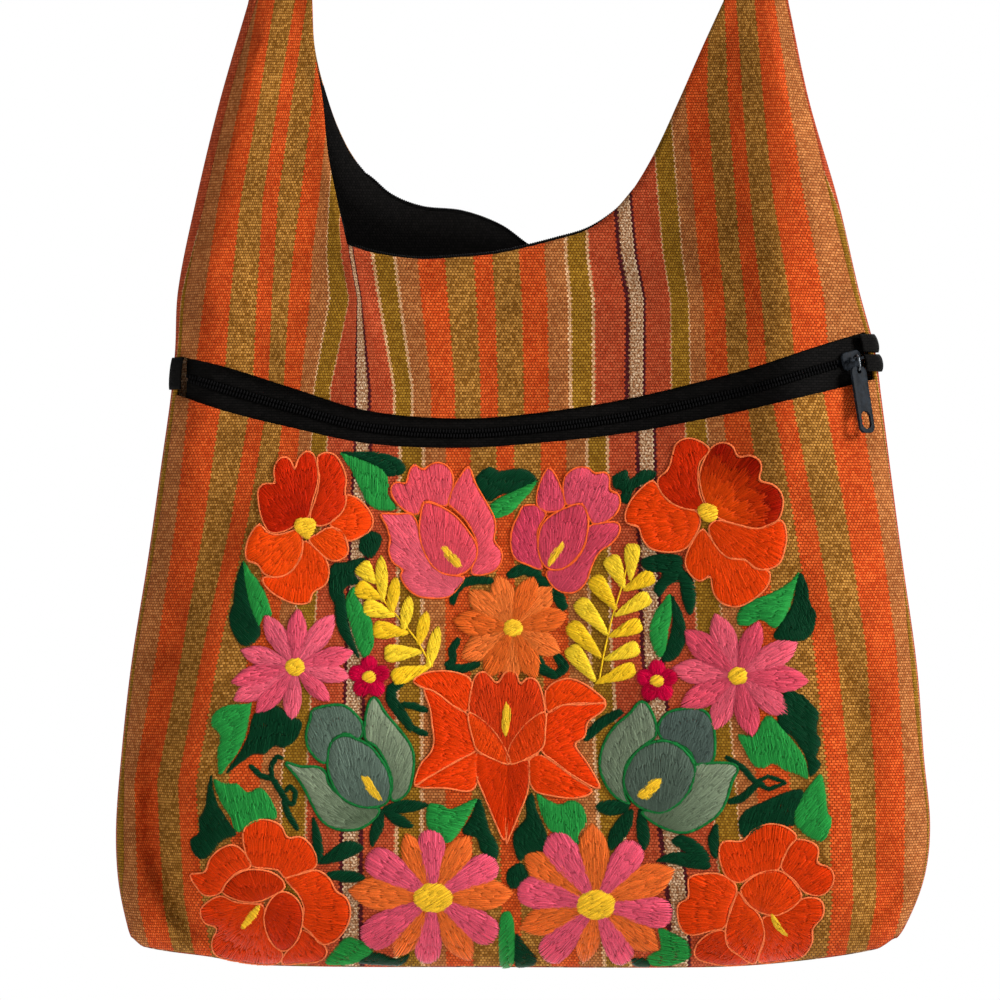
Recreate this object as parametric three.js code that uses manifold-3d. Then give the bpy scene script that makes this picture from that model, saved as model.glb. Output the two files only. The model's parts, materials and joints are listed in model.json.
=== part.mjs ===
// Hobo bag of striped handwoven cotton with an embroidered front pocket panel.
// Millimetres, +Z up, the front faces -Y. The origin is the underside of the strap's crown,
// the place where the bag hangs.
import * as THREE from 'three';
import { mergeVertices } from 'three/addons/utils/BufferGeometryUtils.js';
import Module from 'manifold-3d';

const wasm = await Module();
wasm.setup();

// Driving dimensions
const CLOTH = 1.5;
const LINING = 1.0;
const TAPE = 1.0;
const GAP = 0.3;
const EAR_TOP = -212;
const LINING_TOP = -252;
const SIDE_LAP = 4;
const BOTTOM_LAP = 0.3;
const SEAM_GAP = 0.8;
const EDGE_POWER = 2.2;

// Outline and depth of the body: one row for each level section.
// left and right are the silhouette, front and back the depth from the seam plane,
// roll is the width of the band that curves round to the edge.
const SECTIONS = [
  { z: -684, left: -192, right: 184, front: 34, back: 32, roll: 42 },
  { z: -674, left: -196, right: 192, front: 37, back: 34, roll: 46 },
  { z: -649, left: -201, right: 202, front: 42, back: 38, roll: 55 },
  { z: -623, left: -202, right: 205, front: 45, back: 40, roll: 65 },
  { z: -589, left: -199.5, right: 202, front: 46, back: 41, roll: 75 },
  { z: -543, left: -194.5, right: 198.5, front: 45, back: 40, roll: 80 },
  { z: -489, left: -186, right: 191, front: 41, back: 37, roll: 80 },
  { z: -443, left: -179.5, right: 185, front: 36, back: 33, roll: 76 },
  { z: -407, left: -174.5, right: 180.5, front: 32, back: 30, roll: 70 },
  { z: -385, left: -172.5, right: 177.5, front: 29, back: 28, roll: 62 },
  { z: -355, left: -171, right: 169.5, front: 25, back: 25, roll: 54 },
  { z: -310, left: -162, right: 159, front: 17, back: 18, roll: 36 },
  { z: -260, left: -150, right: 144.5, front: 10.5, back: 10.5, roll: 18 },
  { z: -210, left: -135.5, right: 134, front: 6.5, back: 6.5, roll: 12 },
];

// Lower edge of the body, seen from the front.
const BOTTOM = [
  { x: -193, z: -683.5 },
  { x: -154, z: -688.5 },
  { x: -130, z: -692.5 },
  { x: -10, z: -693.5 },
  { x: 95, z: -693.5 },
  { x: 134, z: -691 },
  { x: 186, z: -683 },
];

// The sagging zip across the front: its middle line and half the height of the black band.
const ZIP = [
  { x: -176, z: -396.5, half: 9.5 },
  { x: -146, z: -405, half: 11 },
  { x: -114, z: -414, half: 10 },
  { x: -76, z: -423.7, half: 8.2 },
  { x: -31, z: -426.8, half: 7.4 },
  { x: 10, z: -424, half: 7.6 },
  { x: 54, z: -418, half: 8.6 },
  { x: 105, z: -407, half: 10 },
  { x: 131, z: -400, half: 11 },
  { x: 156, z: -393, half: 12 },
  { x: 178, z: -387, half: 12.5 },
];

// The scooped mouth: the level stretch of each panel's edge, then the two ears' inner edges.
const MOUTH_FRONT = [
  { x: -86, z: -333 },
  { x: -73, z: -337 },
  { x: -51, z: -340 },
  { x: -29, z: -339 },
  { x: -10, z: -337 },
  { x: 19, z: -330 },
  { x: 34, z: -325 },
  { x: 47, z: -315.5 },
  { x: 57, z: -304 },
];
const MOUTH_BACK = [
  { x: -78, z: -296 },
  { x: -66, z: -307 },
  { x: -50, z: -313.5 },
  { x: -29, z: -316 },
  { x: -10, z: -323 },
  { x: 6, z: -334 },
  { x: 28, z: -342 },
  { x: 52, z: -338 },
  { x: 70, z: -320 },
  { x: 82, z: -296 },
];
const EAR_FRONT = [
  { z: -333, left: -86, right: 36 },
  { z: -304, left: -92.5, right: 57 },
  { z: -285, left: -96, right: 68 },
  { z: -260, left: -98.5, right: 79.5 },
  { z: -235, left: -102.5, right: 90.5 },
  { z: -210, left: -104, right: 102 },
];
const EAR_BACK = [
  { z: -296, left: -78, right: 82 },
  { z: -282, left: -87, right: 86 },
  { z: -263, left: -95, right: 90 },
  { z: -235, left: -102.5, right: 96 },
  { z: -210, left: -104, right: 102 },
];

// Main folds of the front cloth: a line from one end to the other, how wide the fold is,
// and its height, above 0 for a ridge and below 0 for a valley.
const FOLDS = [
  { fold: 'left ear ridge', x0: -122, z0: -225, x1: -118, z1: -370, width: 14, height: 3 },
  { fold: 'left ear lap', x0: -86, z0: -356, x1: -77, z1: -378, width: 10, height: 3 },
  { fold: 'beside the lap', x0: -68, z0: -362, x1: -62, z1: -380, width: 9, height: -2 },
  { fold: 'right ear valley', x0: 110, z0: -235, x1: 101, z1: -365, width: 14, height: -4 },
  { fold: 'left drag', x0: -150, z0: -485, x1: -184, z1: -608, width: 14, height: -6 },
  { fold: 'left corner crease', x0: -184, z0: -608, x1: -166, z1: -672, width: 10, height: -7 },
  { fold: 'left swell', x0: -186, z0: -640, x1: -184, z1: -670, width: 10, height: 3 },
  { fold: 'right drag', x0: 164, z0: -520, x1: 178, z1: -640, width: 13, height: -5 },
  { fold: 'below the slider', x0: 138, z0: -425, x1: 142, z1: -492, width: 10, height: -2.5 },
];

// Counts of cells: down each ear, along the middle, up the cloth, and down the pocket.
const CLOTH_CELLS = { ear: 10, middle: 20, upper: 7, lower: 12 };
const LINING_CELLS = { ear: 6, middle: 12, upper: 4, lower: 8 };

const COLOURS = {
  cloth: 0xb5622c,
  lining: 0x0c0c0e,
  tape: 0x111113,
  coil: 0x1a1a1c,
  metal: 0x23282e,
};

// Reading a table: a smooth curve through one column, held level past both ends
function read(rows, key, column, at) {
  const end = rows.length - 1;
  const place = THREE.MathUtils.clamp(at, rows[0][key], rows[end][key]);
  let i = 0;
  while (i < end - 1 && place > rows[i + 1][key]) {
    i += 1;
  }
  const slope = (k) => {
    const before = rows[Math.max(k - 1, 0)];
    const after = rows[Math.min(k + 1, end)];
    return (after[column] - before[column]) / (after[key] - before[key]);
  };
  const span = rows[i + 1][key] - rows[i][key];
  const t = (place - rows[i][key]) / span;
  const rise = t * t * (3 - 2 * t);
  const leave = t * (1 - t) * (1 - t) * span * slope(i);
  const arrive = t * t * (t - 1) * span * slope(i + 1);
  return rows[i][column] * (1 - rise) + rows[i + 1][column] * rise + leave + arrive;
}

const edge = (side, z) => read(SECTIONS, 'z', side, z);
const bottomZ = (x) => read(BOTTOM, 'x', 'z', x);
const zipZ = (x) => read(ZIP, 'x', 'z', x);
const zipHalf = (x) => read(ZIP, 'x', 'half', x);

// How far a point of the front view lies inside the bag's outline.
function inset(x, z) {
  const fromSide = Math.max(Math.min(x - edge('left', z), edge('right', z) - x), 0);
  const fromBottom = Math.max(z - bottomZ(x), 0);
  if (fromSide === 0 || fromBottom === 0) {
    return 0;
  }
  return (fromSide ** -3 + fromBottom ** -3) ** (-1 / 3);
}

// Depth of the bag at a point of the front view: full inside, rolling to nothing at the outline.
function fullness(x, z) {
  const way = Math.min(inset(x, z) / edge('roll', z), 1);
  return (1 - (1 - way) ** EDGE_POWER) ** (1 / EDGE_POWER);
}

function foldHeight(x, z) {
  let sum = 0;
  for (const { x0, z0, x1, z1, width, height } of FOLDS) {
    const line = new THREE.Line3(new THREE.Vector3(x0, 0, z0), new THREE.Vector3(x1, 0, z1));
    const point = new THREE.Vector3(x, 0, z);
    const near = line.closestPointToPoint(point, true, new THREE.Vector3());
    sum += height * Math.exp(-((near.distanceTo(point) / width) ** 2));
  }
  const FADE = 20;
  return sum * Math.min(inset(x, z) / FADE, 1);
}

function frontAt(x, z) {
  return new THREE.Vector3(x, -edge('front', z) * fullness(x, z) - foldHeight(x, z), z);
}

function backAt(x, z) {
  return new THREE.Vector3(x, edge('back', z) * fullness(x, z), z);
}

// Spacing that crowds both ends, or only the first end, where the cloth curves most.
const CROWDING = { both: 0.7, first: 0.8 };
const crowdBoth = (f) => THREE.MathUtils.lerp(f, (1 - Math.cos(Math.PI * f)) / 2, CROWDING.both);
const crowdFirst = (f) => THREE.MathUtils.lerp(f, 1 - Math.cos((Math.PI * f) / 2), CROWDING.first);

// A sheet is a set of points and the quads between them.
function gridSheet(columns, rows, at) {
  const points = [];
  const quads = [];
  for (let i = 0; i <= columns; i += 1) {
    for (let j = 0; j <= rows; j += 1) {
      points.push(at(i, j));
    }
  }
  const index = (i, j) => i * (rows + 1) + j;
  for (let i = 0; i < columns; i += 1) {
    for (let j = 0; j < rows; j += 1) {
      quads.push([index(i, j), index(i + 1, j), index(i + 1, j + 1), index(i, j + 1)]);
    }
  }
  return { points, quads };
}

function turned(sheet) {
  return { points: sheet.points, quads: sheet.quads.map((quad) => [...quad].reverse()) };
}

// Sews sheets together wherever their points meet.
function sewn(...sheets) {
  const SAME = 1e-3;
  const found = new Map();
  const points = [];
  const quads = [];
  for (const sheet of sheets) {
    const place = sheet.points.map((point) => {
      const key = point.toArray().map((value) => Math.round(value / SAME)).join(' ');
      if (!found.has(key)) {
        found.set(key, points.length);
        points.push(point);
      }
      return found.get(key);
    });
    quads.push(...sheet.quads.map((quad) => quad.map((k) => place[k])));
  }
  return { points, quads };
}

function sheetNormals({ points, quads }) {
  const normals = points.map(() => new THREE.Vector3());
  for (const [a, b, c, d] of quads) {
    const across = points[c].clone().sub(points[a]);
    const along = points[d].clone().sub(points[b]);
    const facing = across.cross(along);
    for (const k of [a, b, c, d]) {
      normals[k].add(facing);
    }
  }
  return normals.map((normal) => normal.normalize());
}

// Gives a sheet its thickness: the outer face set back from the sheet, the inner face, and the rims.
function wall(sheet, thickness, setback = () => 0) {
  const { points, quads } = sheet;
  const normals = sheetNormals(sheet);
  const count = points.length;
  const sunk = (depth) => points.map((point, k) => {
    return point.clone().addScaledVector(normals[k], -setback(point) - depth);
  });
  const triangles = [];
  const free = new Map();
  for (const [a, b, c, d] of quads) {
    triangles.push(a, b, c, a, c, d);
    triangles.push(count + a, count + c, count + b, count + a, count + d, count + c);
    for (const [from, to] of [[a, b], [b, c], [c, d], [d, a]]) {
      if (!free.delete(`${to} ${from}`)) {
        free.set(`${from} ${to}`, [from, to]);
      }
    }
  }
  for (const [from, to] of free.values()) {
    triangles.push(to, from, count + from, to, count + from, count + to);
  }
  const geometry = new THREE.BufferGeometry().setFromPoints([...sunk(0), ...sunk(thickness)]);
  geometry.setIndex(triangles);
  return geometry;
}

// A point of the body below the ears: c runs from the left edge to the right edge,
// r from the bottom edge up to the upper line.
function bodyPoint(c, r, lap, lift, upperLine) {
  const MIDDLE_Z = -500;
  const PASSES = 12;
  let z = MIDDLE_Z;
  let x = 0;
  for (let pass = 0; pass < PASSES; pass += 1) {
    x = THREE.MathUtils.lerp(edge('left', z) + lap, edge('right', z) - lap, c);
    z = THREE.MathUtils.lerp(bottomZ(x) + lift, upperLine(x), r);
  }
  return { x, z };
}

// The part of a panel below the upper line, as a sheet facing out of the front.
function lowerSheet(cells, { lap, lift, upperLine, at }) {
  return gridSheet(cells.middle, cells.lower, (i, j) => {
    const c = crowdBoth(i / cells.middle);
    const r = crowdFirst(j / cells.lower);
    const { x, z } = bodyPoint(c, r, lap, lift, upperLine);
    return at(x, z);
  });
}

// The two boundaries of a panel above the line: round the outside by the ears and along the line,
// and round the inside by the ears' inner edges and the mouth.
function upperRims(cells, { lap, lift, upperLine, top, mouth, ears }) {
  const first = mouth[0];
  const last = mouth[mouth.length - 1];
  const rims = [];
  const leftEnd = bodyPoint(0, 1, lap, lift, upperLine);
  const rightEnd = bodyPoint(1, 1, lap, lift, upperLine);
  const ear = (side, way, end, mouthEnd, f) => {
    const outerZ = THREE.MathUtils.lerp(top, end.z, f);
    const innerZ = THREE.MathUtils.lerp(top, mouthEnd.z, f);
    return {
      outer: { x: edge(side, outerZ) + way * lap, z: outerZ },
      inner: { x: read(ears, 'z', side, innerZ), z: innerZ },
    };
  };
  for (let i = 0; i < cells.ear; i += 1) {
    rims.push(ear('left', 1, leftEnd, first, i / cells.ear));
  }
  for (let i = 0; i <= cells.middle; i += 1) {
    const c = crowdBoth(i / cells.middle);
    const x = THREE.MathUtils.lerp(first.x, last.x, c);
    rims.push({
      outer: bodyPoint(c, 1, lap, lift, upperLine),
      inner: { x, z: read(mouth, 'x', 'z', x) },
    });
  }
  for (let i = cells.ear - 1; i >= 0; i -= 1) {
    rims.push(ear('right', -1, rightEnd, last, i / cells.ear));
  }
  return rims;
}

// The part of a panel above the line: ribs from the outer boundary in to the mouth.
function upperSheet(cells, panel) {
  const rims = upperRims(cells, panel);
  return gridSheet(rims.length - 1, cells.upper, (i, j) => {
    const { outer, inner } = rims[i];
    const q = crowdFirst(j / cells.upper);
    const x = THREE.MathUtils.lerp(outer.x, inner.x, q);
    const z = THREE.MathUtils.lerp(outer.z, inner.z, q);
    return panel.at(x, z);
  });
}

// The strip by which the back panel turns round the edge onto the front, from ear to ear.
function lapSheet(cells, panel) {
  const rims = upperRims(cells, panel);
  const STEPS = 2;
  const path = [];
  for (let i = 0; i < cells.ear; i += 1) {
    path.push({ ...rims[i].outer, dx: SIDE_LAP, dz: 0 });
  }
  const body = (c, r, dx, dz) => {
    path.push({ ...bodyPoint(c, r, panel.lap, panel.lift, panel.upperLine), dx, dz });
  };
  for (let j = cells.lower; j > 0; j -= 1) {
    body(0, crowdFirst(j / cells.lower), SIDE_LAP, 0);
  }
  for (let i = 0; i <= cells.middle; i += 1) {
    const atCorner = Number(i === 0) - Number(i === cells.middle);
    body(crowdBoth(i / cells.middle), 0, atCorner * SIDE_LAP, BOTTOM_LAP);
  }
  for (let j = 1; j <= cells.lower; j += 1) {
    body(1, crowdFirst(j / cells.lower), -SIDE_LAP, 0);
  }
  for (let i = rims.length - cells.ear; i < rims.length; i += 1) {
    path.push({ ...rims[i].outer, dx: -SIDE_LAP, dz: 0 });
  }
  return gridSheet(path.length - 1, STEPS, (i, j) => {
    const { x, z, dx, dz } = path[i];
    const f = (j / STEPS) ** 2;
    return frontAt(x + dx * f, z + dz * f);
  });
}

function backSheet(cells, top) {
  const panel = {
    lap: 0, lift: 0, upperLine: zipZ, top, mouth: MOUTH_BACK, ears: EAR_BACK, at: backAt,
  };
  const inside = sewn(upperSheet(cells, panel), lowerSheet(cells, panel));
  return sewn(turned(inside), lapSheet(cells, panel));
}

function frontPanel(top, upperLine, lapGap) {
  return {
    lap: SIDE_LAP + lapGap,
    lift: BOTTOM_LAP + 2 * GAP,
    upperLine,
    top,
    mouth: MOUTH_FRONT,
    ears: EAR_FRONT,
    at: frontAt,
  };
}

const material = (colour, roughness, metalness = 0) => {
  return new THREE.MeshStandardMaterial({ color: colour, roughness, metalness });
};
const MATERIALS = {
  cloth: material(COLOURS.cloth, 0.9),
  lining: material(COLOURS.lining, 0.85),
  tape: material(COLOURS.tape, 0.8),
  coil: material(COLOURS.coil, 0.45),
  metal: material(COLOURS.metal, 0.4, 0.6),
};

const bag = new THREE.Group();
function add(name, geometry, finish, parent = bag) {
  const mesh = new THREE.Mesh(geometry, MATERIALS[finish]);
  mesh.name = name;
  parent.add(mesh);
  return mesh;
}

// Cloth panels of the body
const upperPanel = frontPanel(EAR_TOP, (x) => zipZ(x) + zipHalf(x), SEAM_GAP);
add('front_upper_panel', wall(upperSheet(CLOTH_CELLS, upperPanel), CLOTH), 'cloth');
const pocketPanel = frontPanel(EAR_TOP, (x) => zipZ(x) - zipHalf(x), SEAM_GAP);
add('front_pocket_panel', wall(lowerSheet(CLOTH_CELLS, pocketPanel), CLOTH), 'cloth');
add('back_panel', wall(backSheet(CLOTH_CELLS, EAR_TOP), CLOTH), 'cloth');

// Black lining: close behind the cloth at the mouth, further in behind the pocket and its zip.
const LINING_SETBACK = 4;
const LINING_SEAM_GAP = 4;
const POCKET_ROOM = 3.5;
const frontLining = frontPanel(LINING_TOP, zipZ, LINING_SEAM_GAP);
const liningSheet = sewn(upperSheet(LINING_CELLS, frontLining), lowerSheet(LINING_CELLS, frontLining));
const liningSetback = (point) => {
  const below = (MOUTH_FRONT[0].z - point.z) / (MOUTH_FRONT[0].z - zipZ(point.x));
  return LINING_SETBACK + POCKET_ROOM * THREE.MathUtils.clamp(below, 0, 1);
};
add('lining_front', wall(liningSheet, LINING, liningSetback), 'lining');
add('lining_back', wall(backSheet(LINING_CELLS, LINING_TOP), LINING, () => LINING_SETBACK), 'lining');

// Shoulder strap: a band folded lengthwise at the ears, which opens out flat over the crown.
const STRAP_HALF = 34;
const STRAP_STEPS = 28;
const STRAP_SIDE_CELLS = 4;
const FOLDED = { turn: 86, soft: 3.4 };
const OPENED = { turn: 24, soft: 14 };
const EAR_RISE = { left: 0.29, right: 0.22 };
const RISE_REACH = 95;
const CROWN_REACH = 72;
const LEVEL_WAY = 0.35;
const OPENING_START = 0.1;

function strapHalfRoute(side) {
  const way = side === 'left' ? 1 : -1;
  const start = new THREE.Vector3(edge(side, EAR_TOP), 0, EAR_TOP + GAP);
  const rise = new THREE.Vector3(way * EAR_RISE[side], 0, 1).normalize();
  const crown = new THREE.Vector3(0, 0, CLOTH);
  return new THREE.CubicBezierCurve3(
    start,
    start.clone().addScaledVector(rise, RISE_REACH),
    new THREE.Vector3(-way * CROWN_REACH, 0, CLOTH),
    crown,
  );
}

// Half of the strap's cross section: depth in Y and reach in from the fold, at a length of cloth.
function strapSection(length, opening) {
  const turn = THREE.MathUtils.degToRad(THREE.MathUtils.lerp(FOLDED.turn, OPENED.turn, opening));
  const soft = THREE.MathUtils.lerp(FOLDED.soft, OPENED.soft, opening);
  const PARTS = 60;
  let depth = 0;
  let reach = 0;
  for (let k = 0; k < PARTS; k += 1) {
    const along = ((k + 0.5) / PARTS) * length;
    const heading = turn * (1 - Math.exp(-along / soft));
    depth += (Math.cos(heading) * length) / PARTS;
    reach += (Math.sin(heading) * length) / PARTS;
  }
  return { depth, reach };
}

function strapSheet() {
  const leftRoute = strapHalfRoute('left');
  const rightRoute = strapHalfRoute('right');
  return gridSheet(STRAP_STEPS, 2 * STRAP_SIDE_CELLS, (i, j) => {
    const f = (2 * i) / STRAP_STEPS;
    const onLeft = f <= 1;
    const route = onLeft ? leftRoute : rightRoute;
    const t = onLeft ? f : 2 - f;
    const place = route.getPointAt(t);
    const tangent = route.getTangentAt(t);
    const way = onLeft ? 1 : -1;
    const square = new THREE.Vector3(way * tangent.z, 0, -way * tangent.x);
    const level = new THREE.Vector3(way, 0, 0);
    const inward = level.lerp(square, THREE.MathUtils.smoothstep(t, 0, LEVEL_WAY)).normalize();
    const opening = THREE.MathUtils.smoothstep(t, OPENING_START, 1);
    const half = (j - STRAP_SIDE_CELLS) / STRAP_SIDE_CELLS;
    const length = (STRAP_HALF * (half * half + Math.abs(half))) / 2;
    const { depth, reach } = strapSection(length, opening);
    return place.addScaledVector(inward, reach).add(new THREE.Vector3(0, Math.sign(half) * depth, 0));
  });
}
add('shoulder_strap', wall(strapSheet(), CLOTH), 'cloth');

// Pocket zip: two tapes tucked under the cloth's edges, and the coil chain between them.
const TUCK = 4;
const TAPE_SETBACK = CLOTH + SEAM_GAP;
const CHAIN_HALF = 2.3;
const TAPE_SPACE = 1.7;
const ZIP_CELLS = 22;
const ZIP_END_INSET = 7.5;
const SLIDER_X = 165.5;
const SLIDER_LENGTH = 12;

function zipStrip(leftX, rightX, lowerEdge, upperEdge) {
  const ROWS = 2;
  return gridSheet(ZIP_CELLS, ROWS, (i, j) => {
    const x = THREE.MathUtils.lerp(leftX, rightX, crowdBoth(i / ZIP_CELLS));
    const z = THREE.MathUtils.lerp(lowerEdge(x), upperEdge(x), j / ROWS);
    return frontAt(x, z);
  });
}
const ZIP_END_X = 170;
const zipLeft = edge('left', zipZ(-ZIP_END_X)) + ZIP_END_INSET;
const zipRight = edge('right', zipZ(ZIP_END_X)) - ZIP_END_INSET;
const tapeReach = (x) => zipHalf(x) + TUCK;
const upperTape = zipStrip(zipLeft, zipRight, (x) => zipZ(x) + TAPE_SPACE, (x) => zipZ(x) + tapeReach(x));
const lowerTape = zipStrip(zipLeft, zipRight, (x) => zipZ(x) - tapeReach(x), (x) => zipZ(x) - TAPE_SPACE);
add('pocket_zip_tape_upper', wall(upperTape, TAPE, () => TAPE_SETBACK), 'tape');
add('pocket_zip_tape_lower', wall(lowerTape, TAPE, () => TAPE_SETBACK), 'tape');
const CHAIN_THICK = 2.2;
const CHAIN_END = 1;
const chainRight = SLIDER_X - SLIDER_LENGTH / 2 - CHAIN_END;
const chain = zipStrip(zipLeft, chainRight, (x) => zipZ(x) - CHAIN_HALF, (x) => zipZ(x) + CHAIN_HALF);
add('pocket_zip_chain', wall(chain, CHAIN_THICK, () => TAPE_SETBACK - GAP - CHAIN_THICK), 'coil');

// Folded tape ends that show at the sides of the bag, lying over the seam.
const END_FOLDS = [
  { name: 'zip_end_left', side: 'left', way: 1, low: -405, high: -389, thick: 1.6 },
  { name: 'zip_end_right_lower', side: 'right', way: -1, low: -396, high: -387.5, thick: 2.6 },
  { name: 'zip_end_right_upper', side: 'right', way: -1, low: -386.5, high: -377.5, thick: 2.2 },
];
for (const { name, side, way, low, high, thick } of END_FOLDS) {
  const AROUND = 6;
  const UP = 3;
  const FRONT_REACH = 6;
  const BACK_REACH = 2;
  const around = gridSheet(AROUND, UP, (i, j) => {
    const e = THREE.MathUtils.lerp(FRONT_REACH ** 0.5, -(BACK_REACH ** 0.5), i / AROUND);
    const z = THREE.MathUtils.lerp(low, high, j / UP);
    const x = edge(side, z) + way * e * e;
    return e > 0 ? frontAt(x, z) : backAt(x, z);
  });
  const facingOut = way > 0 ? turned(around) : around;
  add(name, wall(facingOut, thick, () => -thick - GAP), 'tape');
}

// Mouth zip, open: a tape inside each panel's edge, with its coil standing above the cloth.
// Along the ears the tape sinks behind the hem.
const MOUTH_TAPE = { below: 8, above: 1.4, ear: -1.2 };
const COIL_RADIUS = 0.9;
const MOUTH_ZIP_TOP = -234;
const MOUTH_CELLS = { ear: 8, middle: 22 };

function mouthPath(mouth, ears, at) {
  const panel = { lap: SIDE_LAP, lift: 0, upperLine: zipZ, top: MOUTH_ZIP_TOP, mouth, ears };
  const places = upperRims(MOUTH_CELLS, panel).map(({ inner }) => inner);
  const last = places.length - 1;
  return places.map((place, k) => {
    const before = places[Math.max(k - 1, 0)];
    const after = places[Math.min(k + 1, last)];
    const run = Math.hypot(after.x - before.x, after.z - before.z);
    const openX = -(after.z - before.z) / run;
    const openZ = (after.x - before.x) / run;
    return (rise) => at(place.x + openX * rise, place.z + openZ * rise);
  });
}

function standing(k) {
  const last = 2 * MOUTH_CELLS.ear + MOUTH_CELLS.middle;
  const fromEnd = Math.min(k, last - k);
  const middle = THREE.MathUtils.smoothstep(fromEnd, MOUTH_CELLS.ear - 2, MOUTH_CELLS.ear + 2);
  return THREE.MathUtils.lerp(MOUTH_TAPE.ear, MOUTH_TAPE.above, middle);
}

function mouthZip(name, mouth, ears, at) {
  const path = mouthPath(mouth, ears, at);
  const tape = gridSheet(path.length - 1, 1, (i, j) => path[i](j === 0 ? -MOUTH_TAPE.below : standing(i)));
  const facingOut = at === frontAt ? tape : turned(tape);
  add(`mouth_zip_tape_${name}`, wall(facingOut, TAPE, () => TAPE_SETBACK), 'tape');
  const inwards = at === frontAt ? 1 : -1;
  const depth = inwards * (TAPE_SETBACK + TAPE / 2);
  const above = GAP + COIL_RADIUS;
  const route = path.map((point, k) => point(standing(k) + above).add(new THREE.Vector3(0, depth, 0)));
  const coilSection = new THREE.Shape().absarc(0, 0, COIL_RADIUS, 0, 2 * Math.PI);
  const coil = new THREE.ExtrudeGeometry(coilSection, {
    curveSegments: 3,
    steps: 40,
    extrudePath: new THREE.CatmullRomCurve3(route),
  });
  add(`mouth_zip_coil_${name}`, coil, 'coil');
}
mouthZip('front', MOUTH_FRONT, EAR_FRONT, frontAt);
mouthZip('back', MOUTH_BACK, EAR_BACK, backAt);

// Solids from geometries, to join the slider's pieces and to bore the pull's eyes.
function solid(geometry) {
  const bare = geometry.clone();
  bare.deleteAttribute('normal');
  bare.deleteAttribute('uv');
  const merged = mergeVertices(bare, 1e-4);
  return new wasm.Manifold(new wasm.Mesh({
    numProp: 3,
    vertProperties: new Float32Array(merged.attributes.position.array),
    triVerts: new Uint32Array(merged.index.array),
  }));
}

function geometryOf(manifold) {
  const { vertProperties, triVerts } = manifold.getMesh();
  const geometry = new THREE.BufferGeometry();
  geometry.setAttribute('position', new THREE.BufferAttribute(vertProperties, 3));
  geometry.setIndex(new THREE.BufferAttribute(triVerts, 1));
  return geometry;
}

// A rounded plate standing in the XZ plane, from one depth to another.
function plate(width, height, radius, fromY, toY) {
  const x = width / 2;
  const z = height / 2;
  const outline = new THREE.Shape();
  outline.absarc(x - radius, z - radius, radius, 0, Math.PI / 2);
  outline.absarc(radius - x, z - radius, radius, Math.PI / 2, Math.PI);
  outline.absarc(radius - x, radius - z, radius, Math.PI, 1.5 * Math.PI);
  outline.absarc(x - radius, radius - z, radius, 1.5 * Math.PI, 2 * Math.PI);
  const geometry = new THREE.ExtrudeGeometry(outline, {
    depth: toY - fromY, bevelEnabled: false, curveSegments: 3,
  });
  return geometry.rotateX(Math.PI / 2).translate(0, toY, 0);
}

// Pocket zip slider. Its own frame has X along the zip, Y into the bag from the tape's face.
const SLIDER_HEIGHT = 9;
const SLIDER_CLEAR = 0.8;
const SLIDER_PLATE = 1.6;
const SLIDER_ROUND = 3;
const NECK = { width: 5, height: 2.4, round: 1 };
const BAR = { side: 1.2, length: 9, rise: 3.2, round: 0.2 };
const plateFace = -SLIDER_CLEAR - SLIDER_PLATE;
const backFace = TAPE + SLIDER_CLEAR;
const barY = plateFace - BAR.rise;

function sliderGeometry() {
  const OVERLAP = 0.3;
  const BACK_PLATE = 1;
  const pieces = [
    plate(SLIDER_LENGTH, SLIDER_HEIGHT, SLIDER_ROUND, plateFace, -SLIDER_CLEAR),
    plate(SLIDER_LENGTH, SLIDER_HEIGHT, SLIDER_ROUND, backFace, backFace + BACK_PLATE),
    plate(NECK.width, NECK.height, NECK.round, -SLIDER_CLEAR - OVERLAP, backFace + OVERLAP),
    plate(BAR.length, BAR.side, BAR.round, barY - BAR.side / 2, barY + BAR.side / 2),
  ];
  for (const end of [-1, 1]) {
    const leg = plate(BAR.side, BAR.side, BAR.round, barY, plateFace + OVERLAP);
    pieces.push(leg.translate((end * (BAR.length - BAR.side)) / 2, 0, 0));
  }
  const [first, ...others] = pieces.map(solid);
  return geometryOf(others.reduce((whole, piece) => whole.add(piece), first));
}

const sliderZ = zipZ(SLIDER_X);
const STEP = 6;
const alongZip = frontAt(SLIDER_X + STEP, zipZ(SLIDER_X + STEP))
  .sub(frontAt(SLIDER_X - STEP, zipZ(SLIDER_X - STEP))).normalize();
const upCloth = frontAt(SLIDER_X, sliderZ + STEP).sub(frontAt(SLIDER_X, sliderZ - STEP)).normalize();
const intoBag = upCloth.clone().cross(alongZip).normalize();
const upSlider = alongZip.clone().cross(intoBag);
const tapeFace = frontAt(SLIDER_X, sliderZ).addScaledVector(intoBag, TAPE_SETBACK);
const sliderFrame = new THREE.Matrix4().makeBasis(alongZip, intoBag, upSlider).setPosition(tapeFace);
const slider = add('pocket_zip_slider', sliderGeometry(), 'metal');
sliderFrame.decompose(slider.position, slider.quaternion, slider.scale);

// Pull: a wire bail round the slider's bar and a flat tab hanging in it. It swings on the bar.
// Its own frame has the bar along X and the tab hanging down Z.
const BAIL = { wire: 0.6, bend: 1.85, drop: 4 };
const TAB = { width: 9.5, length: 34, thick: 1.6, round: 3.2, eye: 1.25, eyeRim: 1.3 };
const WINDOW = { width: 5.6, length: 9, fromEnd: 2 };
const TAB_LEAN = 13;

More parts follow.
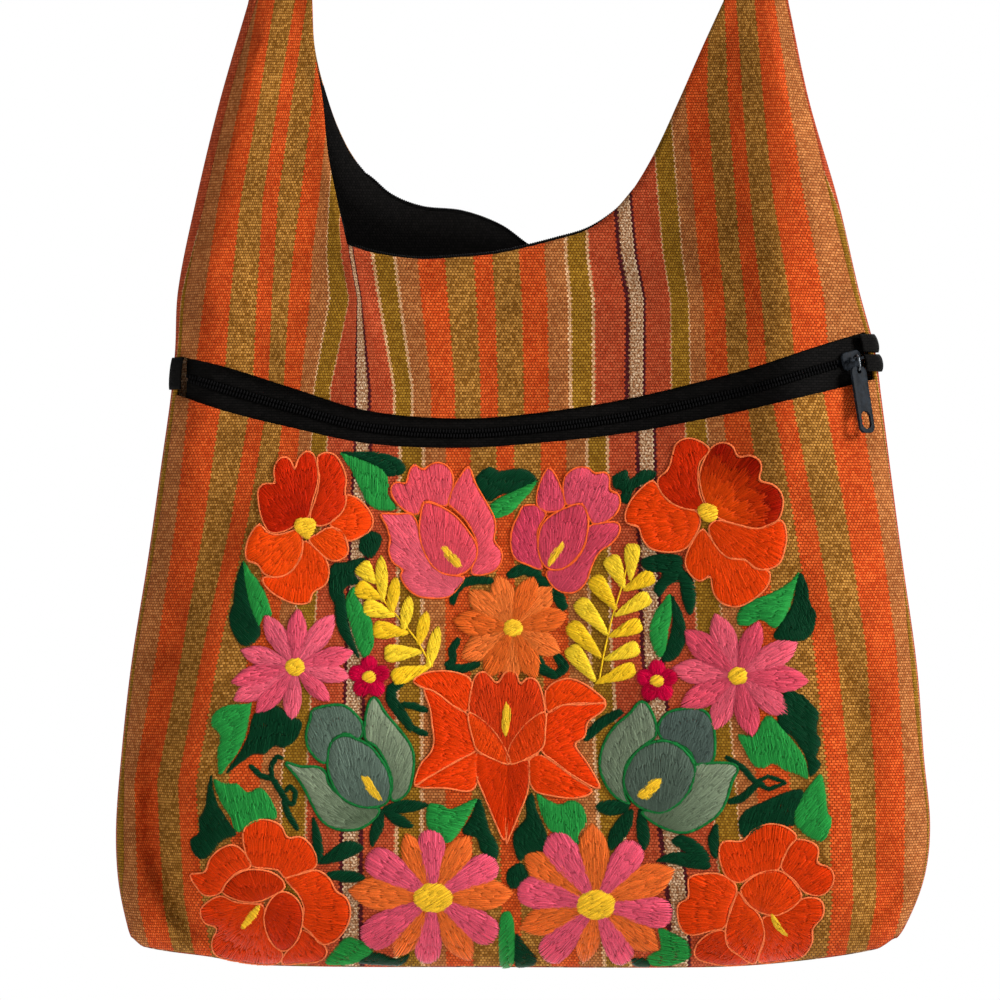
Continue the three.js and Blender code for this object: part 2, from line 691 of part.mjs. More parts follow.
function bailGeometry() {
  const TURNS = 16;
  const SPLIT = 0.25;
  const route = [];
  for (let k = 0; k <= TURNS; k += 1) {
    const angle = THREE.MathUtils.lerp(SPLIT, 2 * Math.PI - SPLIT, k / TURNS);
    const low = Math.sin(angle) < 0 ? BAIL.drop : 0;
    route.push(new THREE.Vector3(0, BAIL.bend * Math.cos(angle), BAIL.bend * Math.sin(angle) - low));
  }
  const section = new THREE.Shape().absarc(0, 0, BAIL.wire, 0, 2 * Math.PI);
  const path = new THREE.CatmullRomCurve3(route);
  return new THREE.ExtrudeGeometry(section, { curveSegments: 4, steps: 28, extrudePath: path });
}

function tabGeometry() {
  const eyeZ = -BAIL.drop - BAIL.bend - TAB.eye + BAIL.wire + GAP;
  const topZ = eyeZ + TAB.eye + TAB.eyeRim;
  const half = TAB.thick / 2;
  const body = plate(TAB.width, TAB.length, TAB.round, -half, half).translate(0, 0, topZ - TAB.length / 2);
  const EYE_SIDES = 16;
  const eye = new THREE.CylinderGeometry(TAB.eye, TAB.eye, 4 * half, EYE_SIDES).translate(0, 0, eyeZ);
  const windowZ = topZ - TAB.length + WINDOW.fromEnd + WINDOW.length / 2;
  const window = plate(WINDOW.width, WINDOW.length, WINDOW.width / 2, -TAB.thick, TAB.thick);
  window.translate(0, 0, windowZ);
  return geometryOf(solid(body).subtract(solid(eye)).subtract(solid(window)));
}

const swing = new THREE.Group();
swing.position.copy(new THREE.Vector3(0, barY, 0).applyMatrix4(sliderFrame));
swing.rotation.order = 'ZXY';
swing.rotation.z = Math.atan2(alongZip.y, alongZip.x);
swing.rotation.x = THREE.MathUtils.degToRad(-TAB_LEAN);
bag.add(swing);
add('pocket_zip_bail', bailGeometry(), 'metal', swing);
add('pocket_zip_pull', tabGeometry(), 'metal', swing);

// Mouth zip slider, hidden at the right end between the two sides of the ear.
const MOUTH_SLIDER = { width: 5, height: 11, round: 1.5, depth: 4, fromEnd: 8, fromEar: -7 };
const mouthSliderZ = MOUTH_ZIP_TOP - MOUTH_SLIDER.fromEnd;
const earX = (ears) => read(ears, 'z', 'right', mouthSliderZ);
const mouthSlider = add('mouth_zip_slider', plate(
  MOUTH_SLIDER.width,
  MOUTH_SLIDER.height,
  MOUTH_SLIDER.round,
  -MOUTH_SLIDER.depth / 2,
  MOUTH_SLIDER.depth / 2,
), 'metal');
const mouthSliderX = (earX(EAR_FRONT) + earX(EAR_BACK)) / 2 - MOUTH_SLIDER.fromEar;
mouthSlider.position.set(mouthSliderX, 0, mouthSliderZ);

export default bag;
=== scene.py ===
import json
import math

import bmesh
import bpy
import numpy as np
from mathutils import Matrix, Vector


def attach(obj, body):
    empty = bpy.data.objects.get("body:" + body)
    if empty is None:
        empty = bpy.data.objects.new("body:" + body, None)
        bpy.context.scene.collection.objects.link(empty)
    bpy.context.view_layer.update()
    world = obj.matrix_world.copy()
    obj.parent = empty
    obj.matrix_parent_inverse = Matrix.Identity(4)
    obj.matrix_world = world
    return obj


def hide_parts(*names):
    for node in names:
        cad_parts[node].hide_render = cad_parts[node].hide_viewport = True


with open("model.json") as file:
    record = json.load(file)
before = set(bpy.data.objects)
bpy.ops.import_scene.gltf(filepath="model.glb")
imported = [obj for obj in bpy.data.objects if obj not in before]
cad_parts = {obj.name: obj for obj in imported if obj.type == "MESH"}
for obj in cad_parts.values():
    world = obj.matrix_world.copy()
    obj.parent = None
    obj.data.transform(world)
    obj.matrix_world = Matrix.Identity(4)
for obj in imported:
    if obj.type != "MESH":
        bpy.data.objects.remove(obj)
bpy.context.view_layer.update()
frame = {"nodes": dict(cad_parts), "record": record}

# Pocket panel
# The lower front of the bag: one piece of striped handwoven cotton below the zip, hemmed under the zip
# and sewn to the back down both sides and along the bottom. The embroidery is worked on it.
MM = 0.001
CLOTH = 1.5
SEAM_GAP = 0.25
BOTTOM_LIFT = 0.9
EDGE_POWER = 2.2
HEM = 5.0
HEM_RISE = 0.7
FOLD_FADE = {"edge": 13, "ears": (-230, -209)}
RIPPLE = {"height": 0.28, "fade": 25}
POCKET_CELLS = (150, 110)


def table(names, *rows):
    """Named columns from rows of numbers, in millimetres."""
    return dict(zip(names.split(), np.array(rows, float).T))


# The body by level sections: silhouette, depth in front of and behind the seam, and the rolled edge.
OUTLINE = table(
    "z left right front back roll",
    (-684, -192, 184, 34, 32, 42),
    (-674, -196, 192, 37, 34, 46),
    (-649, -201, 202, 42, 38, 55),
    (-623, -202, 205, 45, 40, 65),
    (-589, -199.5, 202, 46, 41, 75),
    (-543, -194.5, 198.5, 45, 40, 80),
    (-489, -186, 191, 41, 37, 80),
    (-443, -179.5, 185, 36, 33, 76),
    (-407, -174.5, 180.5, 32, 30, 70),
    (-385, -172.5, 177.5, 29, 28, 62),
    (-355, -171, 169.5, 25, 25, 54),
    (-310, -162, 159, 17, 18, 36),
    (-260, -150, 144.5, 10.5, 10.5, 18),
    (-210, -135.5, 134, 6.5, 6.5, 12),
)
BOTTOM = table(
    "x z",
    (-194, -678.5), (-188, -683.3), (-154, -688.5), (-130, -692.5), (-10, -693.5), (95, -693.5),
    (134, -691), (178, -684.5), (187, -679),
)
# The sagging zip: its middle line and half the height of the black band.
ZIP = table(
    "x z half",
    (-176, -396.5, 9.5), (-146, -405, 11), (-114, -414, 10), (-76, -423.7, 8.2), (-31, -426.8, 7.4),
    (10, -424, 7.6), (54, -418, 8.6), (105, -407, 10), (131, -400, 11), (156, -393, 12), (178, -387, 12.5),
)
# How far in from the edge the side seams run, where the back's cloth turns onto the front.
SEAM = table(
    "z left right",
    (-690, 1.0, 1.0), (-658, 1.4, 1.2), (-640, 4.4, 1.6), (-612, 4.0, 2.0), (-590, 2.4, 2.4),
    (-550, 2.4, 3.6), (-528, 2.4, 3.0), (-500, 2.6, 1.4), (-450, 3.2, 1.4), (-410, 2.6, 2.0),
    (-380, 3.4, 2.8), (-340, 4.8, 3.6), (-305, 4.8, 4.0), (-272, 4.6, 1.4), (-210, 4.0, 1.2),
)
# Folds of the front cloth: a line, its width, and its height, below 0 for a valley.
FOLDS = table(
    "x0 z0 x1 z1 width height",
    (-133, -230, -156, -360, 22, 8),
    (-156, -360, -168, -440, 22, 8),
    (-168, -440, -156, -540, 18, 4),
    (125, -222, 131, -312, 32, 14),
    (132, -340, 134, -430, 21, 8.5),
    (134, -440, 148, -520, 22, 4),
    (64, -310, 60, -400, 34, -4),
    (4, -345, 4, -560, 72, -6),
    (138, -425, 142, -492, 10, -2.5),
    (-150, -475, -171, -530, 13, -3.5),
    (-172, -538, -182, -594, 9, -6),
    (-183.5, -608, -184, -624, 7, -8),
    (-182.5, -637, -173, -662, 7, -8.5),
    (-165, -672, -140, -686, 7, -6),
    (-183, -598, -184, -626, 4, -3),
    (-183, -633, -170, -667, 4, -4.5),
    (174, -667, 192, -650, 6, -5),
    (135, -505, 166, -562, 9, -3),
    (162, -545, 176, -640, 12, -5),
    (150, -560, 158, -650, 9, 1.5),
    (-60, -345, -40, -405, 10, 1.2),
    (20, -345, 24, -405, 9, 1.0),
)


def read(columns, key, name, at):
    """A smooth curve through one column of a table, held level past both ends."""
    keys = columns[key]
    values = columns[name]
    after = np.minimum(np.arange(len(keys)) + 1, len(keys) - 1)
    before = np.maximum(np.arange(len(keys)) - 1, 0)
    slopes = (values[after] - values[before]) / (keys[after] - keys[before])
    place = np.clip(at, keys[0], keys[-1])
    i = np.clip(np.searchsorted(keys, place) - 1, 0, len(keys) - 2)
    span = keys[i + 1] - keys[i]
    t = (place - keys[i]) / span
    rise = t * t * (3 - 2 * t)
    leave = t * (1 - t) ** 2 * span * slopes[i]
    arrive = t * t * (t - 1) * span * slopes[i + 1]
    return values[i] * (1 - rise) + values[i + 1] * rise + leave + arrive


def edge(side, z):
    return read(OUTLINE, "z", side, z)


def seam(side, z):
    return read(SEAM, "z", side, z)


def sewn(side, z):
    """Where the front's own cloth begins, beside the seam."""
    return seam(side, z) + SEAM_GAP


def bottom_z(x):
    return read(BOTTOM, "x", "z", x)


def zip_z(x):
    return read(ZIP, "x", "z", x)


def zip_half(x):
    return read(ZIP, "x", "half", x)


def inset(x, z):
    """How far a point of the front view lies inside the bag's outline."""
    least = 1e-9
    from_side = np.maximum(np.minimum(x - edge("left", z), edge("right", z) - x), least)
    from_bottom = np.maximum(z - bottom_z(x), least)
    return (from_side ** -3 + from_bottom ** -3) ** (-1 / 3)


def fullness(x, z):
    """How far the bag has swelled out at a point, from 0 at its edge to 1 past the rolled edge."""
    inside = inset(x, z)
    way = np.where(inside < 1e-4, 0, np.minimum(inside / edge("roll", z), 1))
    return (1 - (1 - way) ** EDGE_POWER) ** (1 / EDGE_POWER)


def fold_height(x, z):
    """All the folds together, which fade at the edge of the bag and towards the tops of the ears."""
    total = 0
    for x0, z0, x1, z1, width, height in zip(*FOLDS.values()):
        run_x = x1 - x0
        run_z = z1 - z0
        along = ((x - x0) * run_x + (z - z0) * run_z) / (run_x ** 2 + run_z ** 2)
        along = np.clip(along, 0, 1)
        away = np.hypot(x - x0 - along * run_x, z - z0 - along * run_z)
        total = total + height * np.exp(-((away / width) ** 2))
    return total * np.minimum(inset(x, z) / FOLD_FADE["edge"], 1) * np.interp(z, FOLD_FADE["ears"], (1, 0))


def ripple(x, z):
    """The slight unevenness of hand-sewn cloth."""
    waves = np.sin(x / 9.1 + z / 31) + np.sin(x / 17.3 - z / 23 + 1) + np.sin(x / 29 + z / 13.7 + 2)
    return RIPPLE["height"] * waves * np.minimum(inset(x, z) / RIPPLE["fade"], 1)


# Where the left ear laps over the middle of the upper panel, from the mouth down to the zip.
LAP = {
    "x0": -87.5, "z0": -331, "x1": -64, "z1": -404, "rise": 5.5, "left": 16.0, "right": 2.2,
    "above": 40, "fade": 0.8,
}


def lap_height(x, z):
    """The step where the left ear lies over the middle: gentle to its left and sharp to its right."""
    down = np.clip((LAP["z0"] - z) / (LAP["z0"] - LAP["z1"]), 0, 1)
    away = x - LAP["x0"] - (LAP["x1"] - LAP["x0"]) * down
    slope = np.exp(np.minimum(away, 0) / LAP["left"]) * np.exp(-((np.maximum(away, 0) / LAP["right"]) ** 2))
    above = np.clip((z - LAP["z0"]) / LAP["above"], 0, 1)
    return LAP["rise"] * slope * (1 - down) ** LAP["fade"] * (1 - above)


def front_y(x, z):
    return -edge("front", z) * fullness(x, z) - fold_height(x, z) - ripple(x, z) - lap_height(x, z)


def back_y(x, z):
    return edge("back", z) * fullness(x, z) + ripple(x, z)


def crowd_both(f):
    """A share that crowds a grid's lines towards both ends."""
    return 0.3 * f + 0.35 * (1 - np.cos(np.pi * f))


def crowd_first(f):
    """A share that crowds a grid's lines towards its start."""
    return 0.2 * f + 0.8 * (1 - np.cos(np.pi * f / 2))


def body_point(c, r, lap, lift, upper_line):
    """A point of the body below the ears: c from the left edge to the right, r from the bottom up."""
    z = np.full_like(c, -500.0)
    for _ in range(12):
        left = edge("left", z) + lap("left", z)
        x = left + (edge("right", z) - lap("right", z) - left) * c
        low = bottom_z(x) + lift
        z = low + (upper_line(x) - low) * r
    return x, z


def hem_rise(away):
    """The small roll of a hem, by the distance in from its edge."""
    return HEM_RISE * np.exp(-((away / HEM - 0.5) * 2.2) ** 2)


def pocket_top(x):
    return zip_z(x) - zip_half(x)


def pocket_place(across, up):
    x, z = body_point(crowd_both(across), crowd_first(up), sewn, BOTTOM_LIFT, pocket_top)
    return np.stack([x, front_y(x, z) - hem_rise(pocket_top(x) - z), z], 1)


# The front is drawn on squared paper, half a millimetre to a square, as seen from 4 m away.
# CROWN is where the strap's crown would be on that drawing.
SQUARE = 0.5
CROWN = {"column": 520, "row": -420}
EYE = {"x": -10.0, "z": -460.0, "away": 4000.0}


def drawn(columns, rows):
    """Squares of the drawing to millimetres on the front's own surface."""
    flat_x = (columns - CROWN["column"]) * SQUARE
    flat_z = (CROWN["row"] - rows) * SQUARE
    x = flat_x
    z = flat_z
    for _ in range(3):
        nearer = 1 + front_y(x, z) / EYE["away"]
        x = EYE["x"] + (flat_x - EYE["x"]) * nearer
        z = EYE["z"] + (flat_z - EYE["z"]) * nearer
    return x, z


# Where marked lines of the woven stripes cross each drawn row: the row, then the columns left to right.
# STRIPE_MARKS gives each line's place in the cloth, in millimetres from the middle of the loom.
STRIPE_MARKS = np.array([-188, -170, -139.5, -116, -92, -58, -34.5, 0, 34.5, 69.5, 116, 139.5, 170, 188])
POCKET_LINES = np.array([
    (380, 171, 208, 266, 298, 330, 387, 439, 506, 575, 645, 731, 777, 842, 880),
    (400, 170, 206, 264, 297, 329, 387, 439, 506, 575, 645, 732, 779, 844, 881),
    (520, 160, 191, 243, 285, 320, 383, 438, 506, 576, 646, 745, 803, 865, 899),
    (650, 140, 172, 213, 268, 312, 382, 438, 507, 578, 650, 757, 825, 883, 913),
    (780, 123, 146, 189, 250, 305, 381, 438, 509, 583, 663, 768, 839, 889, 925),
    (900, 124, 152, 195, 255, 303, 380, 438, 512, 588, 678, 775, 843, 889, 922),
    (965, 140, 165, 205, 257, 303, 380, 438, 512, 590, 680, 775, 838, 875, 905),
], float)


def stripe_place(lines, x, z):
    """The place in the loom's width of each point of the front."""
    rows = CROWN["row"] - z / SQUARE
    columns = x / SQUARE + CROWN["column"]
    crossed = np.stack([np.interp(rows, lines[:, 0], line) for line in lines[:, 1:].T], 1)
    k = np.clip((crossed <= columns[:, None]).sum(1) - 1, 0, len(STRIPE_MARKS) - 2)
    each = np.arange(len(x))
    left = crossed[each, k]
    share = (columns - left) / (crossed[each, k + 1] - left)
    return STRIPE_MARKS[k] + (STRIPE_MARKS[k + 1] - STRIPE_MARKS[k]) * share


def striped(lines):
    """The place in the weave of a panel's points: across the loom by its stripes, and up the cloth."""
    def pattern(points, rows):
        return np.stack([stripe_place(lines, points[:, 0], points[:, 2]), points[:, 2]], 1)
    return pattern


def patch(bm, columns, rows, place, pattern, mirrored=False):
    """Adds a grid of cloth, moved to where it hangs, with its place in the weave as its UV."""
    made = bmesh.ops.create_grid(bm, x_segments=columns, y_segments=rows, size=0.5)["verts"]
    at = np.array([vert.co[:2] for vert in made]) + 0.5
    points = place(1 - at[:, 0] if mirrored else at[:, 0], at[:, 1])
    weave = pattern(points, rows) * MM
    layer = bm.loops.layers.uv.get("cloth") or bm.loops.layers.uv.new("cloth")
    number = {vert: k for k, vert in enumerate(made)}
    for vert, point in zip(made, points * MM):
        vert.co = point
    for face in {face for vert in made for face in vert.link_faces}:
        for loop in face.loops:
            loop[layer].uv = weave[number[loop.vert]]


def shown(name, mesh, material):
    """A finished mesh as an object of the bag, smooth and with its material."""
    mesh.shade_smooth()
    mesh.materials.append(material)
    piece = bpy.data.objects.new(name, mesh)
    bpy.context.scene.collection.objects.link(piece)
    return piece


def cloth_piece(bm, name, thickness, material):
    """Sews the patches of a bmesh into one piece of cloth with a thickness."""
    bmesh.ops.remove_doubles(bm, verts=bm.verts, dist=0.02 * MM)
    mesh = bpy.data.meshes.new(name)
    bm.to_mesh(mesh)
    bm.free()
    piece = shown(name, mesh, material)
    solid = piece.modifiers.new("thickness", "SOLIDIFY")
    solid.thickness = thickness * MM
    solid.offset = -1
    return piece


def linear(code):
    """An sRGB hex colour as the linear colour that a socket takes."""
    parts = [int(code[k:k + 2], 16) / 255 for k in (1, 3, 5)]
    return [p / 12.92 if p <= 0.04045 else ((p + 0.055) / 1.055) ** 2.4 for p in parts] + [1]


def add_node(tree, kind, inputs=None, **settings):
    """Adds a node with its settings; an input is a value or the socket that feeds it."""
    made = tree.nodes.new(kind)
    for name, value in settings.items():
        setattr(made, name, value)
    for name, value in (inputs or {}).items():
        if isinstance(value, bpy.types.NodeSocket):
            tree.links.new(value, made.inputs[name])
        else:
            made.inputs[name].default_value = value
    return made


def new_material(name, constants):
    """A material with its Principled shader and the numbers that are the same all over."""
    material = bpy.data.materials.new(name)
    material.use_nodes = True
    shader = material.node_tree.nodes["Principled BSDF"]
    for socket, value in constants.items():
        shader.inputs[socket].default_value = value
    return material, material.node_tree, shader


# Handwoven cotton: thick warp yarns in coloured stripes over a hidden weft.
# Each warp float is a small bump on a dry, matt surface. Its dotted two-tone look is partly painted light:
# each float takes at random a mix of its stripe's own tone and a lighter tone, partly yarn variation and
# partly painted glint, and the gaps between floats are darkened with painted shade.
# The yarns are drawn at 1.5 mm, coarser than the real ones of about 1 mm, so that they show.
LOOM_HALF = 188
# Each stripe: its yarn's own tone, then a lighter tone that is partly yarn variation and partly painted
# glint.
ORANGE = ("#B23B0E", "#D95C24")
MUSTARD = ("#784A10", "#BA823A")
TAN = ("#945024", "#BE7842")
OLIVE = ("#7A520C", "#A07422")
PINK = ("#A0391B", "#BE5632")
PALE = ("#BE8654", "#E2B68A")
MAROON = ("#3E1014", "#5A1C20")
CORD = ("#B48C66", "#DCBA98")
FLECK = "#966440"
# Painted shade for the gaps between warp floats.
GAP_SHADE = "#ADA29C"
STRIPES = (
    (0, ORANGE), (4, MUSTARD), (17, ORANGE), (29.5, TAN), (39.5, PALE), (40.7, OLIVE), (49.5, PALE),
    (50.8, PINK), (64.6, MAROON), (66.2, CORD), (72.8, MAROON), (74.4, PINK), (89, PALE), (90.2, OLIVE),
    (100, PALE), (101.2, TAN), (110, ORANGE), (122, MUSTARD), (134.5, ORANGE), (144.5, MUSTARD),
    (159.5, ORANGE), (176.5, TAN),
)
YARN = {"float": 1.5, "pick": 1.35, "gap": 0.26, "tooth": 0.35, "wander": 0.9, "raised": 0.45}
SPOT = {"wander": 5 / 3, "fleck": 5 / 4, "fading": 200 / 9, "grain": 2 / 3}
CORD_MIDDLE = 69.5
CORD_HALF = 3.3

COTTON, tree, shader = new_material("handwoven cotton", {"Roughness": 0.9, "Specular IOR Level": 0.08})
weave = add_node(tree, "ShaderNodeUVMap", uv_map="cloth").outputs["UV"]
wander = add_node(
    tree, "ShaderNodeTexNoise", {"Vector": weave, "Scale": 1 / (SPOT["wander"] * MM), "Detail": 1})
axes = add_node(tree, "ShaderNodeSeparateXYZ", {"Vector": weave})
turns = add_node(
    tree, "ShaderNodeMath", {0: axes.outputs["Y"], 1: math.pi / (YARN["pick"] * MM)}, operation="MULTIPLY")
teeth = add_node(tree, "ShaderNodeMath", {0: turns.outputs[0]}, operation="SINE")
toothed = add_node(
    tree, "ShaderNodeMath", {0: teeth.outputs[0], 1: YARN["tooth"] * MM, 2: axes.outputs["X"]},
    operation="MULTIPLY_ADD")
moved = add_node(
    tree, "ShaderNodeMath", {0: wander.outputs["Fac"], 1: YARN["wander"] * MM, 2: toothed.outputs[0]},
    operation="MULTIPLY_ADD")
side = add_node(tree, "ShaderNodeMath", {0: moved.outputs[0]}, operation="ABSOLUTE")
folded = add_node(tree, "ShaderNodeMath", {0: side.outputs[0], 1: LOOM_HALF * MM}, operation="PINGPONG")
share = add_node(tree, "ShaderNodeMath", {0: folded.outputs[0], 1: LOOM_HALF * MM}, operation="DIVIDE")
# One ramp of the stripes' own tones and one of their lighter tones with painted glint.
ground_and_glint_ramps = []
for tone in (0, 1):
    ramp = add_node(tree, "ShaderNodeValToRGB", {"Fac": share.outputs[0]})
    ramp.color_ramp.interpolation = "CONSTANT"
    stops = ramp.color_ramp.elements
    for start, _ in STRIPES[2:]:
        stops.new(start / LOOM_HALF)
    for stop, (start, colours) in zip(stops, STRIPES):
        stop.position = start / LOOM_HALF
        stop.color = linear(colours[tone])
    ground_and_glint_ramps.append(ramp.outputs["Color"])
floats = add_node(
    tree, "ShaderNodeTexBrick",
    {
        "Vector": weave, "Color1": (0, 0, 0, 1), "Color2": (1, 1, 1, 1), "Mortar": (0.2, 0.2, 0.2, 1),
        "Scale": 1 / MM, "Mortar Size": YARN["gap"], "Mortar Smooth": 1.0,
        "Brick Width": YARN["float"], "Row Height": YARN["pick"],
    },
    offset=0.5)
yarn = add_node(
    tree, "ShaderNodeMixRGB", {"Fac": floats.outputs["Color"], "Color1": ground_and_glint_ramps[0], "Color2": ground_and_glint_ramps[1]})
flecks = add_node(
    tree, "ShaderNodeTexNoise", {"Vector": weave, "Scale": 1 / (SPOT["fleck"] * MM), "Detail": 1})
dark_flecks = add_node(
    tree, "ShaderNodeMapRange", {"Value": flecks.outputs["Fac"], 1: 0.46, 2: 0.56, 3: 0.0, 4: 1.0})
in_cord = add_node(
    tree, "ShaderNodeMath", {0: folded.outputs[0], 1: CORD_MIDDLE * MM, 2: CORD_HALF * MM},
    operation="COMPARE")
cord = add_node(
    tree, "ShaderNodeMath", {0: dark_flecks.outputs[0], 1: in_cord.outputs[0]}, operation="MULTIPLY")
flecked = add_node(
    tree, "ShaderNodeMixRGB",
    {"Fac": cord.outputs[0], "Color1": yarn.outputs[0], "Color2": linear(FLECK)})
# Painted shade darkens the gaps between floats.
gaps = add_node(
    tree, "ShaderNodeMixRGB",
    {"Fac": floats.outputs["Fac"], "Color1": flecked.outputs[0], "Color2": linear(GAP_SHADE)},
    blend_type="MULTIPLY")
fading = add_node(
    tree, "ShaderNodeTexNoise", {"Vector": weave, "Scale": 1 / (SPOT["fading"] * MM), "Detail": 3})
faded = add_node(
    tree, "ShaderNodeMapRange", {"Value": fading.outputs["Fac"], 1: 0.3, 2: 0.7, 3: 0.84, 4: 1.16})
worn = add_node(
    tree, "ShaderNodeMixRGB", {"Fac": 1, "Color1": gaps.outputs[0], "Color2": faded.outputs[0]},
    blend_type="MULTIPLY")
tree.links.new(worn.outputs[0], shader.inputs["Base Color"])
depth = add_node(tree, "ShaderNodeMath", {0: 1.0, 1: floats.outputs["Fac"]}, operation="SUBTRACT")
grain = add_node(
    tree, "ShaderNodeTexNoise", {"Vector": weave, "Scale": 1 / (SPOT["grain"] * MM), "Detail": 2})
relief = add_node(
    tree, "ShaderNodeMath", {0: grain.outputs["Fac"], 1: 0.6, 2: depth.outputs[0]},
    operation="MULTIPLY_ADD")
bump = add_node(
    tree, "ShaderNodeBump",
    {"Height": relief.outputs[0], "Strength": 0.75, "Distance": YARN["raised"] * MM})
tree.links.new(bump.outputs[0], shader.inputs["Normal"])

bm = bmesh.new()
patch(bm, *POCKET_CELLS, pocket_place, striped(POCKET_LINES))
pocket_panel = cloth_piece(bm, "pocket_panel", CLOTH, COTTON)
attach(pocket_panel, "bag")
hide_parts("front_pocket_panel")

# Upper panel
# The front above the zip: a U-shaped piece of the same cotton, hemmed round the scooped mouth.
# Its two ears rise into the strap, and the left ear laps over the middle in a soft pleat.
EAR_TOP = -209.0
EAR_SHARE = 0.24
UPPER_CELLS = (250, 40)
MOUTH_FRONT = table(
    "x z",
    (-86, -333), (-73, -337), (-51, -340), (-29, -339), (-10, -337), (19, -330), (34, -325), (47, -315.5),
    (57, -304),
)
EAR_FRONT = table(
    "z left right",
    (-333, -86, 36), (-304, -92.5, 57), (-285, -96, 68), (-260, -98.5, 79.5), (-235, -102.5, 90.5),
    (-210, -104, 102),
)
UPPER_LINES = np.array([
    (0, 253, 263, 303, 330, 345, 352, 415, 484, 556, 615, 700, 730, 766, 787),
    (100, 231, 249, 286, 325, 344, 352, 415, 484, 556, 616, 696, 735, 775, 808),
    (200, 208, 229, 272, 314, 340, 352, 414, 484, 556, 623, 704, 742, 786, 829),
    (255, 199, 222, 270, 305, 342, 358, 409, 484, 554, 628, 708, 746, 797, 841),
    (300, 192, 217, 268, 300, 350, 366, 413, 487, 557, 637, 713, 751, 806, 850),
    (390, 175, 208, 265, 294, 329, 383, 424, 490, 558, 636, 716, 757, 813, 857),
], float)


def upper_rims(across, panel):
    """The outer and inner boundary of a panel above the zip, from the left ear's top to the right's."""
    middle = crowd_both(np.clip((across - EAR_SHARE) / (1 - 2 * EAR_SHARE), 0, 1))
    outer_x, outer_z = body_point(middle, np.ones_like(across), panel["lap"], 0, panel["line"])
    mouth_x = panel["mouth"]["x"]
    inner_x = mouth_x[0] + (mouth_x[-1] - mouth_x[0]) * middle
    inner_z = read(panel["mouth"], "x", "z", inner_x)
    for side, way, along in (("left", 1, across), ("right", -1, 1 - across)):
        down = np.clip(along / EAR_SHARE, 0, 1)
        in_ear = along < EAR_SHARE
        end = 0.0 if side == "left" else 1.0
        end_z = body_point(np.array([end]), np.ones(1), panel["lap"], 0, panel["line"])[1][0]
        mouth_z = panel["mouth"]["z"][0 if side == "left" else -1]
        ear_z = panel["top"] + (end_z - panel["top"]) * down
        brim_z = panel["top"] + (mouth_z - panel["top"]) * down
        outer_x = np.where(in_ear, edge(side, ear_z) + way * panel["lap"](side, ear_z), outer_x)
        outer_z = np.where(in_ear, ear_z, outer_z)
        inner_x = np.where(in_ear, read(panel["ears"], "z", side, brim_z), inner_x)
        inner_z = np.where(in_ear, brim_z, inner_z)
    return outer_x, outer_z, inner_x, inner_z


def upper_place(panel, surface):
    """Where the part of a panel above the zip hangs, with a rolled hem at the mouth."""
    def place(across, up):
        outer_x, outer_z, inner_x, inner_z = upper_rims(across, panel)
        q = crowd_first(up)
        x = outer_x + (inner_x - outer_x) * q
        z = outer_z + (inner_z - outer_z) * q
        from_mouth = np.hypot(inner_x - outer_x, inner_z - outer_z) * (1 - q)
        return np.stack([x, surface(x, z) + panel["hem"] * hem_rise(from_mouth), z], 1)
    return place


def upper_bottom(x):
    return zip_z(x) + zip_half(x)


upper_front = {
    "lap": sewn, "line": upper_bottom, "top": EAR_TOP, "mouth": MOUTH_FRONT, "ears": EAR_FRONT,
    "hem": -1,
}
bm = bmesh.new()
patch(bm, *UPPER_CELLS, upper_place(upper_front, front_y), striped(UPPER_LINES))
upper_panel = cloth_piece(bm, "upper_panel", CLOTH, COTTON)
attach(upper_panel, "bag")
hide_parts("front_upper_panel")

# Back
# One piece of the same cotton for the back and both sides. It turns round the edge of the bag and is
# sewn to the front a little way in, so a strip of it shows beside the front's stripes.
BOTTOM_LAP = 0.3
BACK_SHIFT = 98
RIM_BEND = 0.5
# The stripes bend along the edge: olive shows beside the body and pink beside the ears.
RIM_STRIPE = {
    "left": ((-640, -400, -340), (80, 82, 75.5)),
    "right": ((-640, -400, -325, -280), (80, 82, 85, 75.5)),
}
BACK_CELLS = {"ear": 60, "middle": 130, "lower": 90, "upper": 24, "lap": 4}
MOUTH_BACK = table(
    "x z",
    (-78, -296), (-66, -307), (-50, -313.5), (-29, -316), (-10, -323), (6, -334), (28, -342), (52, -338),
    (70, -320), (82, -296),
)
EAR_BACK = table(
    "z left right",
    (-296, -78, 82), (-282, -87, 86), (-263, -95, 90), (-235, -102.5, 96), (-210, -104, 102),
)


def at_edge(side, z):
    return np.zeros_like(z)


def smooth_step(t, start, end):
    f = np.clip((t - start) / (end - start), 0, 1)
    return f * f * (3 - 2 * f)


back = {"lap": at_edge, "line": zip_z, "top": EAR_TOP, "mouth": MOUTH_BACK, "ears": EAR_BACK, "hem": 1}

# Length of the back's cloth from its middle, by level and by share of the width.
levels = np.linspace(-693, -210, 98)
shares = np.linspace(0, 1, 241)
level_x = edge("left", levels)[:, None] + (edge("right", levels) - edge("left", levels))[:, None] * shares
level_y = back_y(level_x, np.repeat(levels[:, None], len(shares), 1))
arcs = np.hypot(np.diff(level_x, axis=1), np.diff(level_y, axis=1)).cumsum(1)
arcs = np.concatenate([np.zeros((len(levels), 1)), arcs], 1)
arcs = np.abs(arcs - arcs[:, len(shares) // 2][:, None])


